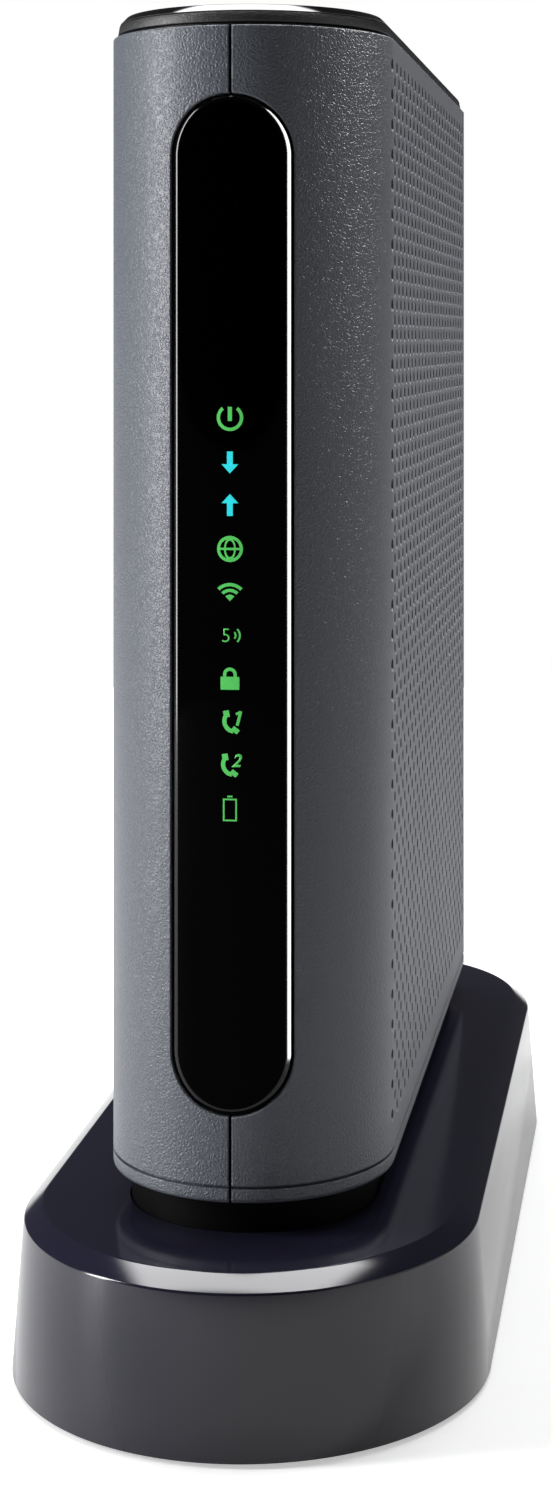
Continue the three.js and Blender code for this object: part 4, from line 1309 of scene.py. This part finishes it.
class MODEM_OT_inside(Operator):
    """Gives the boards, shields, aerials and other inner pieces their finishes"""
    bl_idname = "modem.inside"
    bl_label = "Inside"

    def execute(self, context):
        finishes = inner_finishes()
        for name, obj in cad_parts.items():
            if obj.hide_render:
                continue
            material = finishes.get(name, zinc_steel())
            obj.data.materials.clear()
            obj.data.materials.append(material)
        return {"FINISHED"}


# ---- Studio ---------------------------------------------------------------------------
# Places and sizes of the soft boxes in metres, power in watts.
LAMPS = (
    {"name": "overhead_box", "place": (-0.06, 0.3, 1.0), "target": (0.0, 0.0, 0.0),
     "width": 1.2, "height": 0.6, "power": 10.0, "glossy": False},
    {"name": "left_box", "place": (-0.95, -0.32, 0.3), "target": (0.0, -0.03, 0.12),
     "width": 0.22, "height": 0.9, "power": 16.5},
    {"name": "vent_box", "place": (0.63, 0.37, 0.7), "target": (0.02, 0.0, 0.14),
     "width": 0.4, "height": 0.4, "power": 11.5, "diffuse": False, "only_on": "right_half_shell"},
    {"name": "window_box", "place": (0.16, -0.075, 0.17), "target": (0.0, -0.075, 0.17),
     "width": 0.2, "height": 0.34, "power": 12.5, "diffuse": False, "only_on": "smoked_window"},
)

# Soft edges of the overhead panel, as slopes away from straight up.
PANEL_LEFT_EDGE = (-0.74, -0.56)
PANEL_RIGHT_EDGE = (0.46, 0.64)
PANEL_NEAR_EDGE = (-0.28, -0.14)
PANEL_FAR_EDGE = (0.42, 0.56)
PANEL_LOWEST = 0.05
PANEL_GLOW = 12.0

# What gloss sees of the room, and what matt surfaces get from it.
ROOM_DARK = 0.04
ROOM_RIGHT_GLOW = 0.8
ROOM_RIGHT_EDGE = (0.72, 0.95)
ROOM_BELOW_GLOW = 0.7
SOFT_DARK = 0.03
SOFT_BRIGHT = 0.42
SOFT_EDGE = (-0.45, 0.6)
SOFT_SIDEWAYS = 0.55
SOFT_BACKWARDS = 0.75

FLOOR_GLOW = 0.46
FLOOR_SHINE = 0.2
FLOOR_BOUNCE_LOST = 0.6
FLOOR_FADE = (0.2, 0.8)

SENSOR_WIDTH = 36.0
NEAREST_SEEN = 0.01
FURTHEST_SEEN = 50.0


def step_up(tree, value, low, high, top=1.0, bottom=0.0):
    """A smooth rise from bottom to top, as a value goes from low to high."""
    return node(tree, "ShaderNodeMapRange", {"Value": value, "From Min": low, "From Max": high,
                                             "To Min": bottom, "To Max": top},
                interpolation_type="SMOOTHSTEP").outputs["Result"]


def maths(tree, operation, *values):
    return node(tree, "ShaderNodeMath", dict(enumerate(values)), operation=operation).outputs[0]


def sky_panel(tree, axes):
    """A long soft box overhead, with soft ends, as a mask over the directions upwards."""
    height = maths(tree, "MAXIMUM", axes.outputs["Z"], PANEL_LOWEST)
    across = maths(tree, "DIVIDE", axes.outputs["X"], height)
    along = maths(tree, "DIVIDE", axes.outputs["Y"], height)
    wide = maths(tree, "MULTIPLY", step_up(tree, across, *PANEL_LEFT_EDGE),
                 step_up(tree, across, *PANEL_RIGHT_EDGE, 0.0, 1.0))
    deep = maths(tree, "MULTIPLY", step_up(tree, along, *PANEL_NEAR_EDGE),
                 step_up(tree, along, *PANEL_FAR_EDGE, 0.0, 1.0))
    return maths(tree, "MULTIPLY", wide, deep)


def studio_world():
    """Pale surroundings: white to the eye, a dark room with soft boxes to gloss, soft to the rest."""
    world = bpy.data.worlds.new("studio")
    bpy.context.scene.world = world
    world.use_nodes = True
    tree = world.node_tree
    tree.nodes.clear()
    path = node(tree, "ShaderNodeLightPath")
    place = node(tree, "ShaderNodeTexCoord").outputs["Generated"]
    axes = node(tree, "ShaderNodeSeparateXYZ", {0: place})
    sideways = maths(tree, "MULTIPLY", axes.outputs["X"], SOFT_SIDEWAYS)
    lean = maths(tree, "MULTIPLY_ADD", axes.outputs["Y"], SOFT_BACKWARDS, sideways)
    soft = step_up(tree, lean, *SOFT_EDGE, SOFT_BRIGHT, SOFT_DARK)
    right = step_up(tree, axes.outputs["X"], *ROOM_RIGHT_EDGE, ROOM_RIGHT_GLOW, ROOM_DARK)
    room = maths(tree, "MULTIPLY_ADD", sky_panel(tree, axes), PANEL_GLOW, right)
    below = maths(tree, "LESS_THAN", axes.outputs["Z"], 0.0)
    shiny = node(tree, "ShaderNodeMix", {"Factor": below, "A": room,
                                         "B": ROOM_BELOW_GLOW}).outputs["Result"]
    level = node(tree, "ShaderNodeMix", {"Factor": path.outputs["Is Glossy Ray"], "A": soft,
                                         "B": shiny}).outputs["Result"]
    seen = node(tree, "ShaderNodeMix", {"Factor": path.outputs["Is Camera Ray"], "A": level, "B": 1.0})
    background = node(tree, "ShaderNodeBackground", {"Color": (1, 1, 1, 1),
                                                     "Strength": seen.outputs["Result"]})
    output = node(tree, "ShaderNodeOutputWorld")
    link(tree, background.outputs[0], output.inputs["Surface"])


def pale_floor(size):
    """A white sweep: it glows a little to the eye and to gloss, bounces little light back, fades to
    white towards its edge and is clear from below."""

    def sweep(tree, shader, place, handled, grained, bump):
        path = node(tree, "ShaderNodeLightPath").outputs
        gain = maths(tree, "MULTIPLY_ADD", path["Is Diffuse Ray"], -FLOOR_BOUNCE_LOST, 1.0)
        dimmed = node(tree, "ShaderNodeVectorMath", {0: handled.outputs["Colour"], "Scale": gain},
                      operation="SCALE")
        link(tree, dimmed.outputs[0], shader.inputs["Base Color"])
        shader.inputs["Emission Color"].default_value = (1, 1, 1, 1)
        reach = node(tree, "ShaderNodeVectorMath", {0: place}, operation="LENGTH").outputs["Value"]
        fade = step_up(tree, reach, FLOOR_FADE[0] * size, FLOOR_FADE[1] * size, 1.0, FLOOR_GLOW)
        shine = maths(tree, "MULTIPLY", path["Is Glossy Ray"], FLOOR_SHINE)
        glow = maths(tree, "MULTIPLY_ADD", path["Is Camera Ray"], fade, shine)
        link(tree, glow, shader.inputs["Emission Strength"])
        under = node(tree, "ShaderNodeNewGeometry").outputs["Backfacing"]
        clear = node(tree, "ShaderNodeBsdfTransparent")
        both = node(tree, "ShaderNodeMixShader", {0: under, 1: shader.outputs[0], 2: clear.outputs[0]})
        link(tree, both.outputs[0], tree.nodes["Material Output"].inputs["Surface"])

    return finish("pale_floor", (0.86, 0.86, 0.86), 0.6, drift=0.01, specular=0.2, grain_scale=60.0,
                  grain_depth=0.00001, build=sweep)


def softbox(name, place, target, width, height, power, diffuse=True, glossy=True, only_on=None):
    """An area light that faces a point, and lights every piece or one alone."""
    bpy.ops.object.light_add(type="AREA", location=place)
    lamp = bpy.context.active_object
    lamp.name = name
    lamp.data.shape = "RECTANGLE"
    lamp.data.size = width
    lamp.data.size_y = height
    lamp.data.energy = power
    lamp.rotation_euler = (Vector(target) - Vector(place)).to_track_quat("-Z", "Y").to_euler()
    lamp.visible_diffuse = diffuse
    lamp.visible_glossy = glossy
    lamp.visible_camera = False
    if only_on:
        receivers = bpy.data.collections.new(f"{name}_receivers")
        receivers.objects.link(bpy.data.objects[only_on])
        lamp.light_linking.receiver_collection = receivers


class MODEM_OT_studio(Operator):
    """Sets up the pale floor, the soft lights and the camera"""
    bl_idname = "modem.studio"
    bl_label = "Studio"

    def execute(self, context):
        studio = context.scene.modem_studio
        context.scene.view_settings.view_transform = "Standard"
        bpy.ops.mesh.primitive_circle_add(vertices=96, radius=studio.floor_size, fill_type="NGON")
        floor = new_piece("floor")
        floor.data.materials.append(pale_floor(studio.floor_size))
        studio_world()
        for lamp in LAMPS:
            softbox(**lamp)
        camera = bpy.data.objects.new("camera", bpy.data.cameras.new("camera"))
        context.scene.collection.objects.link(camera)
        camera.location = studio.camera_place
        camera.rotation_euler = (math.pi / 2, 0, studio.camera_turn)
        camera.data.lens = studio.lens
        camera.data.sensor_width = SENSOR_WIDTH
        camera.data.sensor_fit = "AUTO"
        camera.data.shift_y = -studio.lens_drop
        camera.data.clip_start = NEAREST_SEEN
        camera.data.clip_end = FURTHEST_SEEN
        context.scene.camera = camera
        return {"FINISHED"}


# ---- Sidebar, registration and the build ----------------------------------------------
STEPS = (MODEM_OT_shells, MODEM_OT_top, MODEM_OT_window, MODEM_OT_pictograms, MODEM_OT_stand,
         MODEM_OT_rear, MODEM_OT_underside, MODEM_OT_inside, MODEM_OT_studio)
SETTINGS = (("modem_shell", ModemShellSettings), ("modem_top", ModemTopSettings),
            ("modem_window", ModemWindowSettings), ("modem_stand", ModemStandSettings),
            ("modem_studio", ModemStudioSettings))


class MODEM_PT_sidebar(Panel):
    """Lists the sizes and the building steps"""
    bl_idname = "MODEM_PT_sidebar"
    bl_label = "Upright Cable Modem"
    bl_space_type = "VIEW_3D"
    bl_region_type = "UI"
    bl_category = "Modem"

    def draw(self, context):
        layout = self.layout
        for attribute, _ in SETTINGS:
            box = layout.box()
            settings = getattr(context.scene, attribute)
            for key in settings.__annotations__:
                box.prop(settings, key)
        for step in STEPS:
            layout.operator(step.bl_idname)


def register():
    for attribute, settings in SETTINGS:
        bpy.utils.register_class(settings)
        setattr(bpy.types.Scene, attribute, PointerProperty(type=settings))
    for step in STEPS:
        bpy.utils.register_class(step)
    bpy.utils.register_class(MODEM_PT_sidebar)


def unregister():
    bpy.utils.unregister_class(MODEM_PT_sidebar)
    for step in reversed(STEPS):
        bpy.utils.unregister_class(step)
    for attribute, settings in reversed(SETTINGS):
        delattr(bpy.types.Scene, attribute)
        bpy.utils.unregister_class(settings)


def main():
    register()
    bpy.ops.object.select_all(action="DESELECT")
    for step in STEPS:
        group_name, operator_name = step.bl_idname.split(".")
        getattr(getattr(bpy.ops, group_name), operator_name)()


if __name__ == "__main__":
    main()
